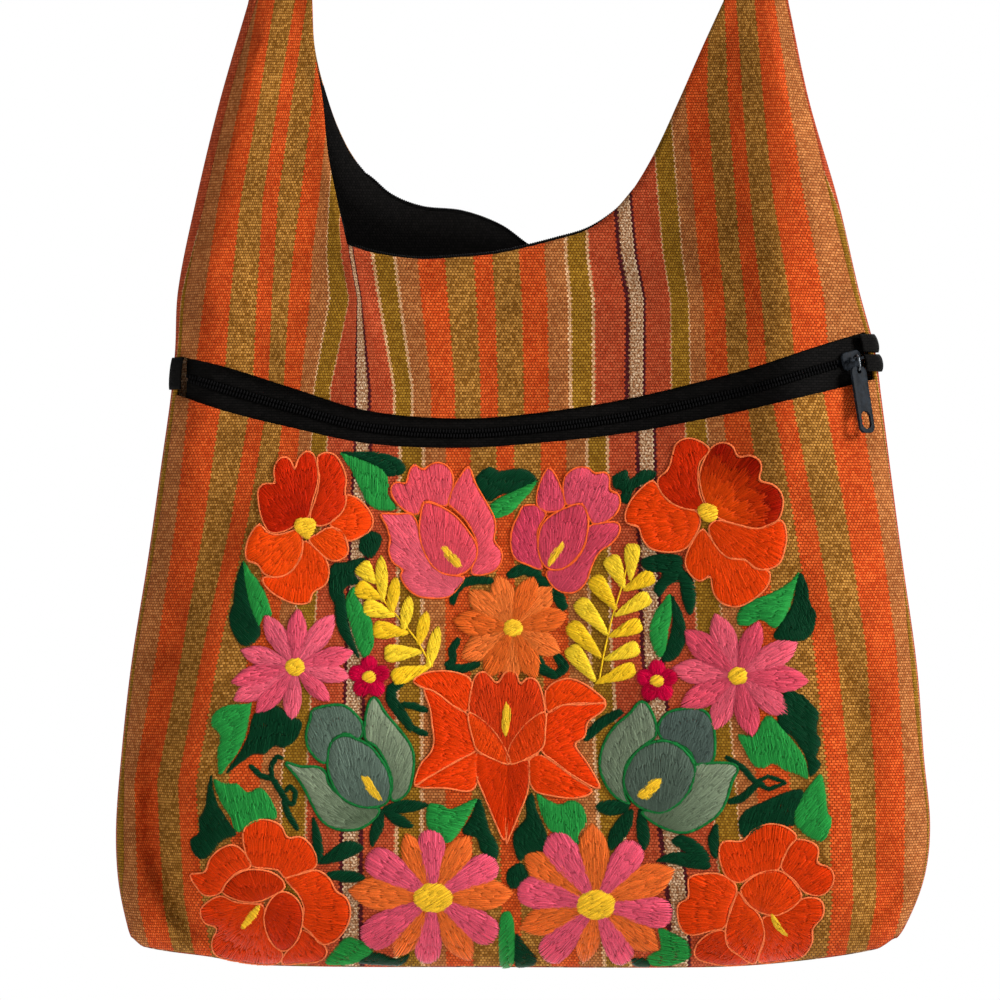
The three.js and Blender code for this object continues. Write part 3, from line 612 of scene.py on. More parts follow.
def back_stripe(x, z):
    """The place in the loom's width of each point of the back, by the length of its cloth."""
    row = np.clip((z - levels[0]) / (levels[-1] - levels[0]) * (len(levels) - 1), 0, len(levels) - 1.001)
    share = (x - edge("left", z)) / (edge("right", z) - edge("left", z))
    column = np.clip(share * (len(shares) - 1), 0, len(shares) - 1.001)
    i = row.astype(int)
    j = column.astype(int)
    lower = arcs[i, j] + (arcs[i, j + 1] - arcs[i, j]) * (column - j)
    upper = arcs[i + 1, j] + (arcs[i + 1, j + 1] - arcs[i + 1, j]) * (column - j)
    place = lower + (upper - lower) * (row - i) - BACK_SHIFT
    at_rim = np.interp(z, levels, arcs[:, 0]) - BACK_SHIFT
    wanted = np.where(share < 0.5, np.interp(z, *RIM_STRIPE["left"]), np.interp(z, *RIM_STRIPE["right"]))
    return place + (wanted - at_rim) * smooth_step(np.abs(2 * share - 1), RIM_BEND, 1)


def back_place(across, up):
    x, z = body_point(crowd_both(across), crowd_first(up), at_edge, 0, zip_z)
    return np.stack([x, back_y(x, z), z], 1)


def back_pattern(points, rows):
    return np.stack([back_stripe(points[:, 0], points[:, 2]), points[:, 2]], 1)


def lap_place(across, up):
    """The strip that turns onto the front: down the left edge, along the bottom and up the right edge."""
    ear = BACK_CELLS["ear"]
    lower = BACK_CELLS["lower"]
    middle = BACK_CELLS["middle"]
    cell = np.rint(across * (2 * ear + 2 * lower + middle))
    left_end = ear + lower
    right_end = left_end + middle
    c = crowd_both(np.clip((cell - left_end) / middle, 0, 1))
    rise = np.where(cell < left_end, left_end - cell, np.maximum(cell - right_end, 0))
    x, z = body_point(c, crowd_first(np.clip(rise / lower, 0, 1)), at_edge, 0, zip_z)
    past = cell - right_end - lower
    rim = np.where(cell < ear, cell / ear * EAR_SHARE, 1 - (ear - past) / ear * EAR_SHARE)
    outer_x, outer_z, _, _ = upper_rims(np.clip(rim, 0, 1), back)
    in_ear = (cell < ear) | (past > 0)
    x = np.where(in_ear, outer_x, x)
    z = np.where(in_ear, outer_z, z)
    turn = up ** 2
    way = np.where(cell <= left_end, 1, np.where(cell >= right_end, -1, 0))
    x = x + np.where(way > 0, seam("left", z), seam("right", z)) * turn * way
    z = z + BOTTOM_LAP * turn * ((cell >= left_end) & (cell <= right_end))
    return np.stack([x, front_y(x, z), z], 1)


def run_up(points, rows):
    """Length of cloth from the first row of a patch to each of its points."""
    grid = points.reshape(rows + 1, -1, 3)
    steps = np.linalg.norm(np.diff(grid, axis=0), axis=2)
    return np.concatenate([np.zeros((1, grid.shape[1])), np.cumsum(steps, 0)]).ravel()


def lap_pattern(points, rows):
    columns = len(points) // (rows + 1)
    first = points[:columns]
    started = np.tile(back_stripe(first[:, 0], first[:, 2]), rows + 1)
    return np.stack([started + run_up(points, rows), points[:, 2]], 1)


rim_columns = 2 * BACK_CELLS["ear"] + BACK_CELLS["middle"]
lap_columns = rim_columns + 2 * BACK_CELLS["lower"]
bm = bmesh.new()
patch(bm, BACK_CELLS["middle"], BACK_CELLS["lower"], back_place, back_pattern, mirrored=True)
patch(bm, rim_columns, BACK_CELLS["upper"], upper_place(back, back_y), back_pattern, mirrored=True)
patch(bm, lap_columns, BACK_CELLS["lap"], lap_place, lap_pattern)
back_piece = cloth_piece(bm, "back", CLOTH, COTTON)
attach(back_piece, "bag")
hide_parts("back_panel")

# Lining
# Plain black cotton inside the front and the back, sewn in at the mouth and loose behind the pocket.
# It is what shows dark through the open mouth.
LINING = 1.0
LINING_TOP = -252.0
LINING_SETBACK = 4.0
POCKET_ROOM = 3.5
LINING_EDGE = {"lap": 8.0, "lift": 6.0, "ears": (-300, -250), "narrow": 0.3}
LINING_CELLS = {"lower": (65, 40), "upper": (125, 12)}
LINING_THREAD = 1.4


def woven(tree, shader, tones, thread, gap, strength, raised):
    """A plain weave: two near tones of thread, painted shade in the gaps, and threads that stand out."""
    weave = add_node(tree, "ShaderNodeUVMap", uv_map="cloth").outputs["UV"]
    threads = add_node(
        tree, "ShaderNodeTexBrick",
        {
            "Vector": weave, "Color1": linear(tones[0]), "Color2": linear(tones[1]),
            "Mortar": linear(tones[2]), "Scale": 1 / MM, "Mortar Size": gap, "Mortar Smooth": 1.0,
            "Brick Width": thread[0], "Row Height": thread[1],
        },
        offset=0.5)
    tree.links.new(threads.outputs["Color"], shader.inputs["Base Color"])
    bump = add_node(
        tree, "ShaderNodeBump",
        {"Height": threads.outputs["Fac"], "Strength": strength, "Distance": -raised * MM})
    tree.links.new(bump.outputs[0], shader.inputs["Normal"])


# Plain-woven cotton dyed black: almost no colour, with a faint grey thread texture.
# Its darkest tone, in the gaps between threads, is painted shade.
# The threads are drawn at 1.4 mm, coarser than the real ones, so that they show.
BLACK_COTTON, tree, shader = new_material("black cotton", {"Roughness": 0.9, "Specular IOR Level": 0.06})
woven(
    tree, shader, ("#0A0908", "#131110", "#050404"), (LINING_THREAD, LINING_THREAD),
    gap=0.25, strength=0.4, raised=0.2)


def unit(vectors):
    return vectors / np.linalg.norm(vectors, axis=-1, keepdims=True)


def outward(surface, x, z, way):
    """Unit normals that point out of a face of the bag: way is -1 for the front and 1 for the back."""
    step = 0.5
    slope_x = (surface(x + step, z) - surface(x - step, z)) / (2 * step)
    slope_z = (surface(x, z + step) - surface(x, z - step)) / (2 * step)
    return unit(np.stack([-way * slope_x, np.full_like(x, way), -way * slope_z], 1))


def set_in(place, surface, way, setback):
    """A patch moved into the bag from the face that it follows."""
    def moved_place(across, up):
        points = place(across, up)
        depth = setback(points[:, 0], points[:, 2])
        return points - outward(surface, points[:, 0], points[:, 2], way) * depth[:, None]
    return moved_place


def lining_depth(x, z):
    """How deep the front's lining hangs: it leaves room for what is in the pocket."""
    below = (MOUTH_FRONT["z"][0] - z) / (MOUTH_FRONT["z"][0] - zip_z(x))
    return LINING_SETBACK + POCKET_ROOM * np.clip(below, 0, 1)


def flat_depth(x, z):
    return np.full_like(x, LINING_SETBACK)


def plain_pattern(points, rows):
    return points[:, [0, 2]]


def lining_edge(side, z):
    return LINING_EDGE["lap"] * np.interp(z, LINING_EDGE["ears"], (1, LINING_EDGE["narrow"]))


def lining_lower(surface):
    def place(across, up):
        x, z = body_point(
            crowd_both(across), crowd_first(up), lining_edge, LINING_EDGE["lift"], zip_z)
        return np.stack([x, surface(x, z), z], 1)
    return place


for name, surface, way, mouth, ears, depth_at in (
    ("front", front_y, -1, MOUTH_FRONT, EAR_FRONT, lining_depth),
    ("back", back_y, 1, MOUTH_BACK, EAR_BACK, flat_depth),
):
    rim = {"lap": lining_edge, "line": zip_z, "top": LINING_TOP, "mouth": mouth, "ears": ears, "hem": 0}
    bm = bmesh.new()
    for part, place in (("lower", lining_lower(surface)), ("upper", upper_place(rim, surface))):
        hung = set_in(place, surface, way, depth_at)
        patch(bm, *LINING_CELLS[part], hung, plain_pattern, mirrored=way > 0)
    piece = cloth_piece(bm, f"lining.{name}", LINING, BLACK_COTTON)
    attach(piece, "bag")
    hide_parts(f"lining_{name}")

# Strap
# A band of the same cotton that joins the two ears over the crown. It is folded lengthwise where it
# leaves the ears and opens out flat over the shoulder.
STRAP_HALF = 34
STRAP_CELLS = (160, 28)
FOLDED = {"turn": 86, "soft": 3.4}
OPENED = {"turn": 24, "soft": 14}
EAR_RISE = {"left": 0.29, "right": 0.22}
RISE_REACH = 95
CROWN_REACH = 72
LEVEL_WAY = 0.35
OPENING_START = 0.1
STRAP_GAP = 0.3
STRAP_STRETCH = 1.6


def run_along(line):
    """Length along a line of points, from its first point to each."""
    return np.concatenate([[0], np.linalg.norm(np.diff(line, axis=0), axis=1).cumsum()])


def spots_along(line, length, at):
    """What a line of points reads at some lengths along it."""
    return np.stack([np.interp(at, length, line[:, k]) for k in (0, 1)], 1)


def strap_route(side, t):
    """Place and direction along one half of the strap, by the share of its length."""
    way = 1 if side == "left" else -1
    start = np.array([edge(side, EAR_TOP), EAR_TOP + STRAP_GAP])
    rise = unit(np.array([way * EAR_RISE[side], 1]))
    crown = np.array([0, CLOTH])
    points = np.stack([start, start + rise * RISE_REACH, crown - [way * CROWN_REACH, 0], crown])
    f = np.linspace(0, 1, 400)[:, None]
    weights = np.concatenate([(1 - f) ** 3, 3 * f * (1 - f) ** 2, 3 * f * f * (1 - f), f ** 3], 1)
    line = weights @ points
    length = run_along(line)
    heading = unit(np.gradient(line, axis=0))
    at = t * length[-1]
    return spots_along(line, length, at), spots_along(heading, length, at)


def strap_width(half):
    """Length of cloth from the strap's middle line, which crowds the grid's lines there."""
    return STRAP_HALF * (half * half + np.abs(half)) / 2


def strap_place(across, up):
    """Across runs along the strap from the left ear to the right, and up runs over its width."""
    half = 2 * up - 1
    length = strap_width(half)
    on_left = across <= 0.5
    t = np.where(on_left, 2 * across, 2 - 2 * across)
    left = strap_route("left", t)
    right = strap_route("right", t)
    place = np.where(on_left[:, None], left[0], right[0])
    tangent = np.where(on_left[:, None], left[1], right[1])
    way = np.where(on_left, 1, -1)
    square = np.stack([way * tangent[:, 1], -way * tangent[:, 0]], 1)
    level = np.stack([way, np.zeros_like(t)], 1)
    mix = smooth_step(t, 0, LEVEL_WAY)[:, None]
    inward = unit(level * (1 - mix) + square * mix)
    opening = smooth_step(t, OPENING_START, 1)
    turn = np.radians(FOLDED["turn"] + (OPENED["turn"] - FOLDED["turn"]) * opening)
    soft = FOLDED["soft"] + (OPENED["soft"] - FOLDED["soft"]) * opening
    depth = 0
    reach = 0
    parts = 60
    for k in range(parts):
        heading = turn * (1 - np.exp(-(k + 0.5) / parts * length / soft))
        depth = depth + np.cos(heading) * length / parts
        reach = reach + np.sin(heading) * length / parts
    flat = place + inward * reach[:, None]
    return np.stack([flat[:, 0], np.sign(half) * depth, flat[:, 1]], 1)


def strap_pattern(points, rows):
    columns = len(points) // (rows + 1)
    length = strap_width(np.repeat(np.linspace(-1, 1, rows + 1), columns))
    grid = points.reshape(rows + 1, columns, 3)
    steps = np.linalg.norm(np.diff(grid, axis=1), axis=2)
    along = np.concatenate([np.zeros((rows + 1, 1)), steps.cumsum(1)], 1).ravel()
    return np.stack([LOOM_HALF - STRAP_STRETCH * length, along], 1)


bm = bmesh.new()
patch(bm, *STRAP_CELLS, strap_place, strap_pattern)
strap = cloth_piece(bm, "strap", CLOTH, COTTON)
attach(strap, "bag")
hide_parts("shoulder_strap")

# Pocket zip tapes
# Two black woven tapes sewn under the hems above and below the zip, with a gap for the chain.
# They show as the sagging black band across the front.
TAPE = 1.0
TUCK = 4
TAPE_CLEAR = 0.8
TAPE_SETBACK = CLOTH + TAPE_CLEAR
TAPE_SPACE = 1.7
TAPE_CELLS = (150, 8)
TAPE_RIB = 1.3
ZIP_END_X = 170
ZIP_END_INSET = 5.5
zip_left = float(edge("left", zip_z(-ZIP_END_X))) + ZIP_END_INSET
zip_right = float(edge("right", zip_z(ZIP_END_X))) - ZIP_END_INSET

# Woven polyester tape, black: dense ribs along the tape that catch a little grey light.
# Its darkest tone, in the grooves between ribs, is painted shade.
# The ribs are drawn at 1.3 mm, coarser than the real ones, so that they show.
BLACK_TAPE, tree, shader = new_material(
    "woven polyester tape", {"Roughness": 0.75, "Specular IOR Level": 0.04})
woven(
    tree, shader, ("#080706", "#100E0D", "#030303"), (2 * TAPE_RIB, TAPE_RIB),
    gap=0.3, strength=0.5, raised=0.3)


def tape_depth(x, z):
    return np.full_like(x, TAPE_SETBACK)


def zip_strip(low, high):
    """A strip along the zip, between two distances from its middle line."""
    def place(across, up):
        x = zip_left + (zip_right - zip_left) * crowd_both(across)
        z = zip_z(x) + low(x) + (high(x) - low(x)) * up
        return np.stack([x, front_y(x, z), z], 1)
    return place


def tape_reach(x):
    return zip_half(x) + TUCK


for name, low, high in (
    ("upper", lambda x: TAPE_SPACE, tape_reach),
    ("lower", lambda x: -tape_reach(x), lambda x: -TAPE_SPACE),
):
    bm = bmesh.new()
    patch(bm, *TAPE_CELLS, set_in(zip_strip(low, high), front_y, -1, tape_depth), plain_pattern)
    piece = cloth_piece(bm, f"zip_tape.{name}", TAPE, BLACK_TAPE)
    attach(piece, "bag")
    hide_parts(f"pocket_zip_tape_{name}")

# Pocket zip chain
# The closed nylon coil: two rows of small black loops that mesh along the middle of the band.
# Each loop is sewn to the edge of its tape.
SLIDER_X = 165.5
SLIDER_LENGTH = 12
TOOTH_PITCH = 1.5
TOOTH = (0.58, 1.4, 0.95)
TOOTH_ROW = 1.1
CHAIN_LIFT = 0.3


def joined_mesh(name, points, loops, sizes, material):
    """One mesh from arrays of points, face corners and face sizes."""
    mesh = bpy.data.meshes.new(name)
    mesh.vertices.add(len(points))
    mesh.vertices.foreach_set("co", points.astype(np.float32).ravel())
    mesh.loops.add(len(loops))
    mesh.loops.foreach_set("vertex_index", loops.astype(np.int32))
    mesh.polygons.add(len(sizes))
    starts = np.concatenate([[0], np.cumsum(sizes)[:-1]])
    mesh.polygons.foreach_set("loop_start", starts.astype(np.int32))
    mesh.update(calc_edges=True)
    return shown(name, mesh, material)


def copies(name, places, axes, material):
    """Joins small round beads, each with its three half axes and its place in millimetres."""
    bead = bmesh.new()
    bmesh.ops.create_uvsphere(bead, u_segments=6, v_segments=4, radius=1)
    bead.verts.index_update()
    corners = np.array([vert.co[:] for vert in bead.verts])
    loops = np.concatenate([[vert.index for vert in face.verts] for face in bead.faces])
    sizes = np.array([len(face.verts) for face in bead.faces])
    bead.free()
    count = len(places)
    points = np.einsum("vk,nkc->nvc", corners, axes) + places[:, None]
    joined = (loops[None] + np.arange(count)[:, None] * len(corners)).ravel()
    return joined_mesh(name, points.reshape(-1, 3) * MM, joined, np.tile(sizes, count), material)


def speckled(tree, shader, tones, speck, detail=2, between=(0, 1), roughness=None):
    """Specks of a size in two tones; the roughness may run between two values with them."""
    place = add_node(tree, "ShaderNodeTexCoord").outputs["Object"]
    noise = add_node(
        tree, "ShaderNodeTexNoise", {"Vector": place, "Scale": 1 / (speck * MM), "Detail": detail})
    tone = add_node(tree, "ShaderNodeValToRGB", {"Fac": noise.outputs["Fac"]})
    for stop, position, code in zip(tone.color_ramp.elements, between, tones):
        stop.position = position
        stop.color = linear(code)
    tree.links.new(tone.outputs["Color"], shader.inputs["Base Color"])
    if roughness:
        rough = add_node(
            tree, "ShaderNodeMapRange",
            {"Value": noise.outputs["Fac"], 1: 0.3, 2: 0.7, 3: roughness[0], 4: roughness[1]})
        tree.links.new(rough.outputs[0], shader.inputs["Roughness"])


# Nylon coil, black: smooth monofilament dulled by dust, so each loop shows only a faint grey.
BLACK_NYLON, tree, shader = new_material("black nylon", {"Roughness": 0.6, "Specular IOR Level": 0.04})
speckled(tree, shader, ("#060606", "#121112"), speck=10 / 9)


def on_front(x, z, lift):
    """Points that stand off the front's surface by a distance, and the normals there."""
    normals = outward(front_y, x, z, -1)
    return np.stack([x, front_y(x, z), z], 1) + normals * np.broadcast_to(lift, x.shape)[:, None], normals


chain_x = np.arange(zip_left + 1, SLIDER_X - SLIDER_LENGTH / 2 - 0.5, TOOTH_PITCH / 2)
row = np.where(np.arange(len(chain_x)) % 2 == 0, 1, -1)
places, out = on_front(chain_x, zip_z(chain_x) + row * TOOTH_ROW, CHAIN_LIFT - TAPE_SETBACK)
ahead, _ = on_front(chain_x + 1, zip_z(chain_x + 1) + row * TOOTH_ROW, CHAIN_LIFT - TAPE_SETBACK)
along = unit(ahead - places)
out = unit(out - along * (out * along).sum(1)[:, None])
tooth_axes = np.stack([along * TOOTH[0], np.cross(out, along) * TOOTH[1], out * TOOTH[2]], 1)
zip_chain = copies("zip_chain", places, tooth_axes, BLACK_NYLON)
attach(zip_chain, "bag")
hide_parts("pocket_zip_chain")

# Zip tape ends
# The spare ends of the tapes, folded over and sewn down round the side seams: one flat fold at the left
# and two bunched folds at the right, beside the slider.
END_GAP = 0.3
END_CLOTH = 0.35
END_CELLS = (24, 10)
END_FOLDS = (
    ("left", "left", 1, -405, -389, 1.6, 6.2),
    ("right_lower", "right", -1, -396, -387.5, 2.6, 8),
    ("right_upper", "right", -1, -386.5, -377.5, 2.2, 8),
)
END_BEHIND = 2


def end_place(side, way, low, high, thick, reach):
    """A fold of tape that starts on the front and goes round the edge of the bag."""
    def place(across, up):
        e = reach ** 0.5 * (1 - across) - END_BEHIND ** 0.5 * across
        z = low + (high - low) * up
        x = edge(side, z) + way * e * e
        y = np.where(e > 0, front_y(x, z), back_y(x, z))
        turn = smooth_step(e, -0.8, 0.8)[:, None]
        front_out = outward(front_y, x + way * 0.6, z, -1)
        back_out = outward(back_y, x + way * 0.6, z, 1)
        normals = unit(front_out * turn + back_out * (1 - turn))
        swell = np.sin(np.pi * np.clip(up, 0.02, 0.98)) ** 0.4
        lift = END_GAP + thick * (END_CLOTH + (1 - END_CLOTH) * swell)
        return np.stack([x, y, z], 1) + normals * lift[:, None]
    return place


for name, side, way, low, high, thick, reach in END_FOLDS:
    bm = bmesh.new()
    place = end_place(side, way, low, high, thick, reach)
    patch(bm, *END_CELLS, place, plain_pattern, mirrored=way > 0)
    piece = cloth_piece(bm, f"tape_end.{name}", END_CLOTH * thick, BLACK_TAPE)
    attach(piece, "bag")
    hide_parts(f"zip_end_{name}")

# Mouth zip
# The open zip round the mouth: a black tape inside each hem, with its coil standing above the cloth.
# The two rows of teeth part from the right ear.
MOUTH_TAPE = {"below": 8, "above": 1.2, "ear": -1.2}
SINK = {"left": (-0.06, 0.05), "right": 0.17}
MOUTH_ZIP_TOP = -234
MOUTH_CELLS = (150, 4)
COIL_RISE = 0.1
COIL_PITCH = 1.15
LOOP = (0.72, 0.85, 0.7)

for name, surface, way, mouth, ears in (
    ("front", front_y, -1, MOUTH_FRONT, EAR_FRONT),
    ("back", back_y, 1, MOUTH_BACK, EAR_BACK),
):
    rim = {"lap": seam, "line": zip_z, "top": MOUTH_ZIP_TOP, "mouth": mouth, "ears": ears}

    def brim(across, rise):
        """A point beside the mouth's edge: rise is above 0 on the open side."""
        step = 0.004
        _, _, x, z = upper_rims(across, rim)
        _, _, before_x, before_z = upper_rims(np.clip(across - step, 0, 1), rim)
        _, _, after_x, after_z = upper_rims(np.clip(across + step, 0, 1), rim)
        run = np.hypot(after_x - before_x, after_z - before_z)
        return x - (after_z - before_z) / run * rise, z + (after_x - before_x) / run * rise

    def stand(across):
        """How far the tape stands above the hem: it sinks behind the hem along the ears."""
        middle = smooth_step(across, EAR_SHARE + SINK["left"][0], EAR_SHARE + SINK["left"][1])
        middle = middle * (1 - smooth_step(across, 1 - EAR_SHARE - SINK["right"], 1 - EAR_SHARE))
        return MOUTH_TAPE["ear"] + (MOUTH_TAPE["above"] - MOUTH_TAPE["ear"]) * middle

    def brim_place(across, up):
        x, z = brim(across, -MOUTH_TAPE["below"] + (stand(across) + MOUTH_TAPE["below"]) * up)
        return np.stack([x, surface(x, z), z], 1)

    bm = bmesh.new()
    inside = set_in(brim_place, surface, way, tape_depth)
    patch(bm, *MOUTH_CELLS, inside, plain_pattern, mirrored=way > 0)
    tape = cloth_piece(bm, f"mouth_tape.{name}", TAPE, BLACK_TAPE)
    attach(tape, "bag")
    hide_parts(f"mouth_zip_tape_{name}")

    share = np.linspace(0, 1, 4000)
    line = np.stack(brim(share, stand(share) + COIL_RISE), 1)
    length = run_along(line)
    x, z = spots_along(line, length, np.arange(0, length[-1], COIL_PITCH)).T
    places = np.stack([x, surface(x, z), z], 1)
    places = places - outward(surface, x, z, way) * (TAPE_SETBACK + TAPE / 2)
    along = unit(np.gradient(places, axis=0))
    across_loop = unit(np.cross(along, [0.0, way, 0.0]))
    loop_axes = np.stack(
        [along * LOOP[0], across_loop * LOOP[1], np.cross(along, across_loop) * LOOP[2]], 1)
    coil = copies(f"mouth_coil.{name}", places, loop_axes, BLACK_NYLON)
    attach(coil, "bag")
    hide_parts(f"mouth_zip_coil_{name}")

# Pocket zip slider
# The die-cast slider that closes the pocket: a rounded body over the coil with a bar for the pull.
# It is lacquered blue-black, as the small slider hidden in the right ear is.
BAR_OUT = 5.6
SLIDER_CLEAR = 0.8
BODY = (12, 1.6, 9)
BACK_PLATE = 1.0
NECK = (5, 4.2, 2.4)
BAR = (9, 1.3, 1.3)
BAR_LEG = 3.4

# Zinc casting under blue-black lacquer: dark and rather dull, with faint paler specks where it is worn.
LACQUER, tree, shader = new_material("lacquered zinc", {"Specular IOR Level": 0.04})
speckled(
    tree, shader, ("#14171B", "#262B31"), speck=50 / 21, detail=4, between=(0.4, 0.72),
    roughness=(0.4, 0.55))

hinge = Vector(frame["record"]["behaviour"]["joints"][0]["pos_m"]) / MM


def front_point(x, z):
    return Vector((x, float(front_y(np.array([x]), np.array([z]))[0]), z))


step = 6
slider_z = float(zip_z(SLIDER_X))
slider_along = (
    front_point(SLIDER_X + step, float(zip_z(SLIDER_X + step)))
    - front_point(SLIDER_X - step, float(zip_z(SLIDER_X - step)))
).normalized()
cloth_up = (front_point(SLIDER_X, slider_z + step) - front_point(SLIDER_X, slider_z - step)).normalized()
slider_in = cloth_up.cross(slider_along).normalized()
slider_up = slider_along.cross(slider_in)
slider_frame = Matrix((slider_along, slider_in, slider_up)).transposed().to_4x4()
slider_frame.translation = hinge + slider_in * BAR_OUT


def block(bm, size, centre, rounding, soften):
    """Adds a block whose corners round off in its own plane, with every rim softened."""
    part = bmesh.new()
    bmesh.ops.create_cube(part, size=1)
    bmesh.ops.scale(part, verts=part.verts, vec=size)
    upright = [e for e in part.edges if abs((e.verts[0].co - e.verts[1].co).normalized().y) > 0.9]
    bmesh.ops.bevel(
        part, geom=upright, offset=rounding, affect="EDGES", segments=5, profile=0.5, material=-1)
    rims = [e for e in part.edges if e.calc_face_angle(0) > 1.0]
    bmesh.ops.bevel(part, geom=rims, offset=soften, affect="EDGES", segments=2, profile=0.5, material=-1)
    bmesh.ops.translate(part, verts=part.verts, vec=centre)
    mesh = bpy.data.meshes.new("block")
    part.to_mesh(mesh)
    part.free()
    bm.from_mesh(mesh)
    bpy.data.meshes.remove(mesh)


def metal_piece(bm, name, place, material):
    """Puts a bmesh of millimetres in its place in the bag, with its faces turned outward."""
    bmesh.ops.transform(bm, verts=bm.verts, matrix=Matrix.Scale(MM, 4) @ place)
    bmesh.ops.recalc_face_normals(bm, faces=bm.faces)
    mesh = bpy.data.meshes.new(name)
    bm.to_mesh(mesh)
    bm.free()
    return shown(name, mesh, material)


leg = (BAR[1], BAR_LEG, BAR[2])
leg_x = (BAR[0] - BAR[1]) / 2
bm = bmesh.new()
for size, centre, rounding, soften in (
    (BODY, (0, -SLIDER_CLEAR - BODY[1] / 2, 0), 2.4, 0.4),
    ((BODY[0], BACK_PLATE, BODY[2]), (0, TAPE + SLIDER_CLEAR + BACK_PLATE / 2, 0), 2.4, 0.25),
    (NECK, (0, TAPE / 2, 0), 0.8, 0.2),
    (BAR, (0, -BAR_OUT, 0), 0.3, 0.2),
    (leg, (-leg_x, BAR_LEG / 2 - BAR_OUT, 0), 0.3, 0.15),
    (leg, (leg_x, BAR_LEG / 2 - BAR_OUT, 0), 0.3, 0.15),
):
    block(bm, size, centre, rounding, soften)
slider = metal_piece(bm, "slider", slider_frame, LACQUER)
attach(slider, "bag")
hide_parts("pocket_zip_slider")
hidden_slider = frame["nodes"]["mouth_zip_slider"]
hidden_slider.data.materials.clear()
hidden_slider.data.materials.append(LACQUER)

# Pocket zip pull
# A bent wire bail round the slider's bar, with a flat stamped tab hanging in it. The tab has an eye for
# the bail and a long window at its end. Both swing on the bar.
BAIL = {"wire": 0.6, "bend": 1.85, "drop": 4, "open": 0.25}
TAB = {"width": 9.5, "length": 34, "thick": 1.6, "round": 3.2, "eye": 1.25, "eye_rim": 1.3}
WINDOW = {"width": 5.6, "length": 9, "from_end": 2}
TAB_LEAN = 13
TAB_BEVEL = 0.25

# Plated steel wire: dark grey metal with a drawn, slightly rough surface.
WIRE, tree, shader = new_material("plated steel wire", {"Metallic": 1.0})
speckled(tree, shader, ("#3A3D40", "#6A6E72"), speck=5 / 4, roughness=(0.22, 0.4))

pull_frame = (
    Matrix.Translation(hinge)
    @ Matrix.Rotation(math.atan2(slider_along.y, slider_along.x), 4, "Z")
    @ Matrix.Rotation(math.radians(-TAB_LEAN), 4, "X")
)


def curve_mesh(name, curve):
    """A curve's own mesh, as a bmesh."""
    holder = bpy.data.objects.new(name, curve)
    mesh = bpy.data.meshes.new_from_object(holder)
    bm = bmesh.new()
    bm.from_mesh(mesh)
    bpy.data.objects.remove(holder)
    bpy.data.curves.remove(curve)
    bpy.data.meshes.remove(mesh)
    bmesh.ops.remove_doubles(bm, verts=bm.verts, dist=0.001)
    return bm


def add_spline(curve, points):
    spline = curve.splines.new("POLY")
    spline.points.add(len(points) - 1)
    for spot, point in zip(spline.points, points):
        spot.co = (*point, 0)[:3] + (1,)
    return spline


def rounded_ring(width, length, radius, centre_z):
    """The outline of a flat plate with round corners."""
    points = []
    for turn, (sx, sz) in enumerate(((1, 1), (-1, 1), (-1, -1), (1, -1))):
        for k in range(7):
            angle = math.radians(90 * turn + 15 * k)
            x = sx * (width / 2 - radius) + radius * math.cos(angle)
            z = sz * (length / 2 - radius) + radius * math.sin(angle)
            points.append((x, z + centre_z))
    return points


eye_z = -BAIL["drop"] - BAIL["bend"] - TAB["eye"] + BAIL["wire"] + 0.3
tab_top = eye_z + TAB["eye"] + TAB["eye_rim"]
window_z = tab_top - TAB["length"] + WINDOW["from_end"] + WINDOW["length"] / 2
plate = bpy.data.curves.new("tab", "CURVE")
plate.dimensions = "2D"
plate.fill_mode = "BOTH"
plate.extrude = TAB["thick"] / 2 - TAB_BEVEL
plate.bevel_depth = TAB_BEVEL
plate.bevel_resolution = 2
plate.offset = -TAB_BEVEL
for width, length, radius, centre in (
    (TAB["width"], TAB["length"], TAB["round"], tab_top - TAB["length"] / 2),
    (2 * TAB["eye"], 2 * TAB["eye"], TAB["eye"] - 0.01, eye_z),
    (WINDOW["width"], WINDOW["length"], WINDOW["width"] / 2 - 0.01, window_z),
):
    spline = add_spline(plate, rounded_ring(width, length, radius, centre))
    spline.use_cyclic_u = True
bm = curve_mesh("tab", plate)
bmesh.ops.rotate(bm, verts=bm.verts, cent=(0, 0, 0), matrix=Matrix.Rotation(math.pi / 2, 3, "X"))
tab = metal_piece(bm, "pull_tab", pull_frame, LACQUER)
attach(tab, "pull")
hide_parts("pocket_zip_pull")

wire = bpy.data.curves.new("bail", "CURVE")
wire.dimensions = "3D"
wire.bevel_depth = BAIL["wire"]
wire.bevel_resolution = 3
wire.use_fill_caps = True
route = []
for k in range(33):
    angle = BAIL["open"] + 2 * (math.pi - BAIL["open"]) * k / 32
    low = BAIL["drop"] if math.sin(angle) < 0 else 0
    route.append((0, BAIL["bend"] * math.cos(angle), BAIL["bend"] * math.sin(angle) - low))
add_spline(wire, route)
bail = metal_piece(curve_mesh("bail", wire), "pull_bail", pull_frame, WIRE)
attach(bail, "pull")
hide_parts("pocket_zip_bail")

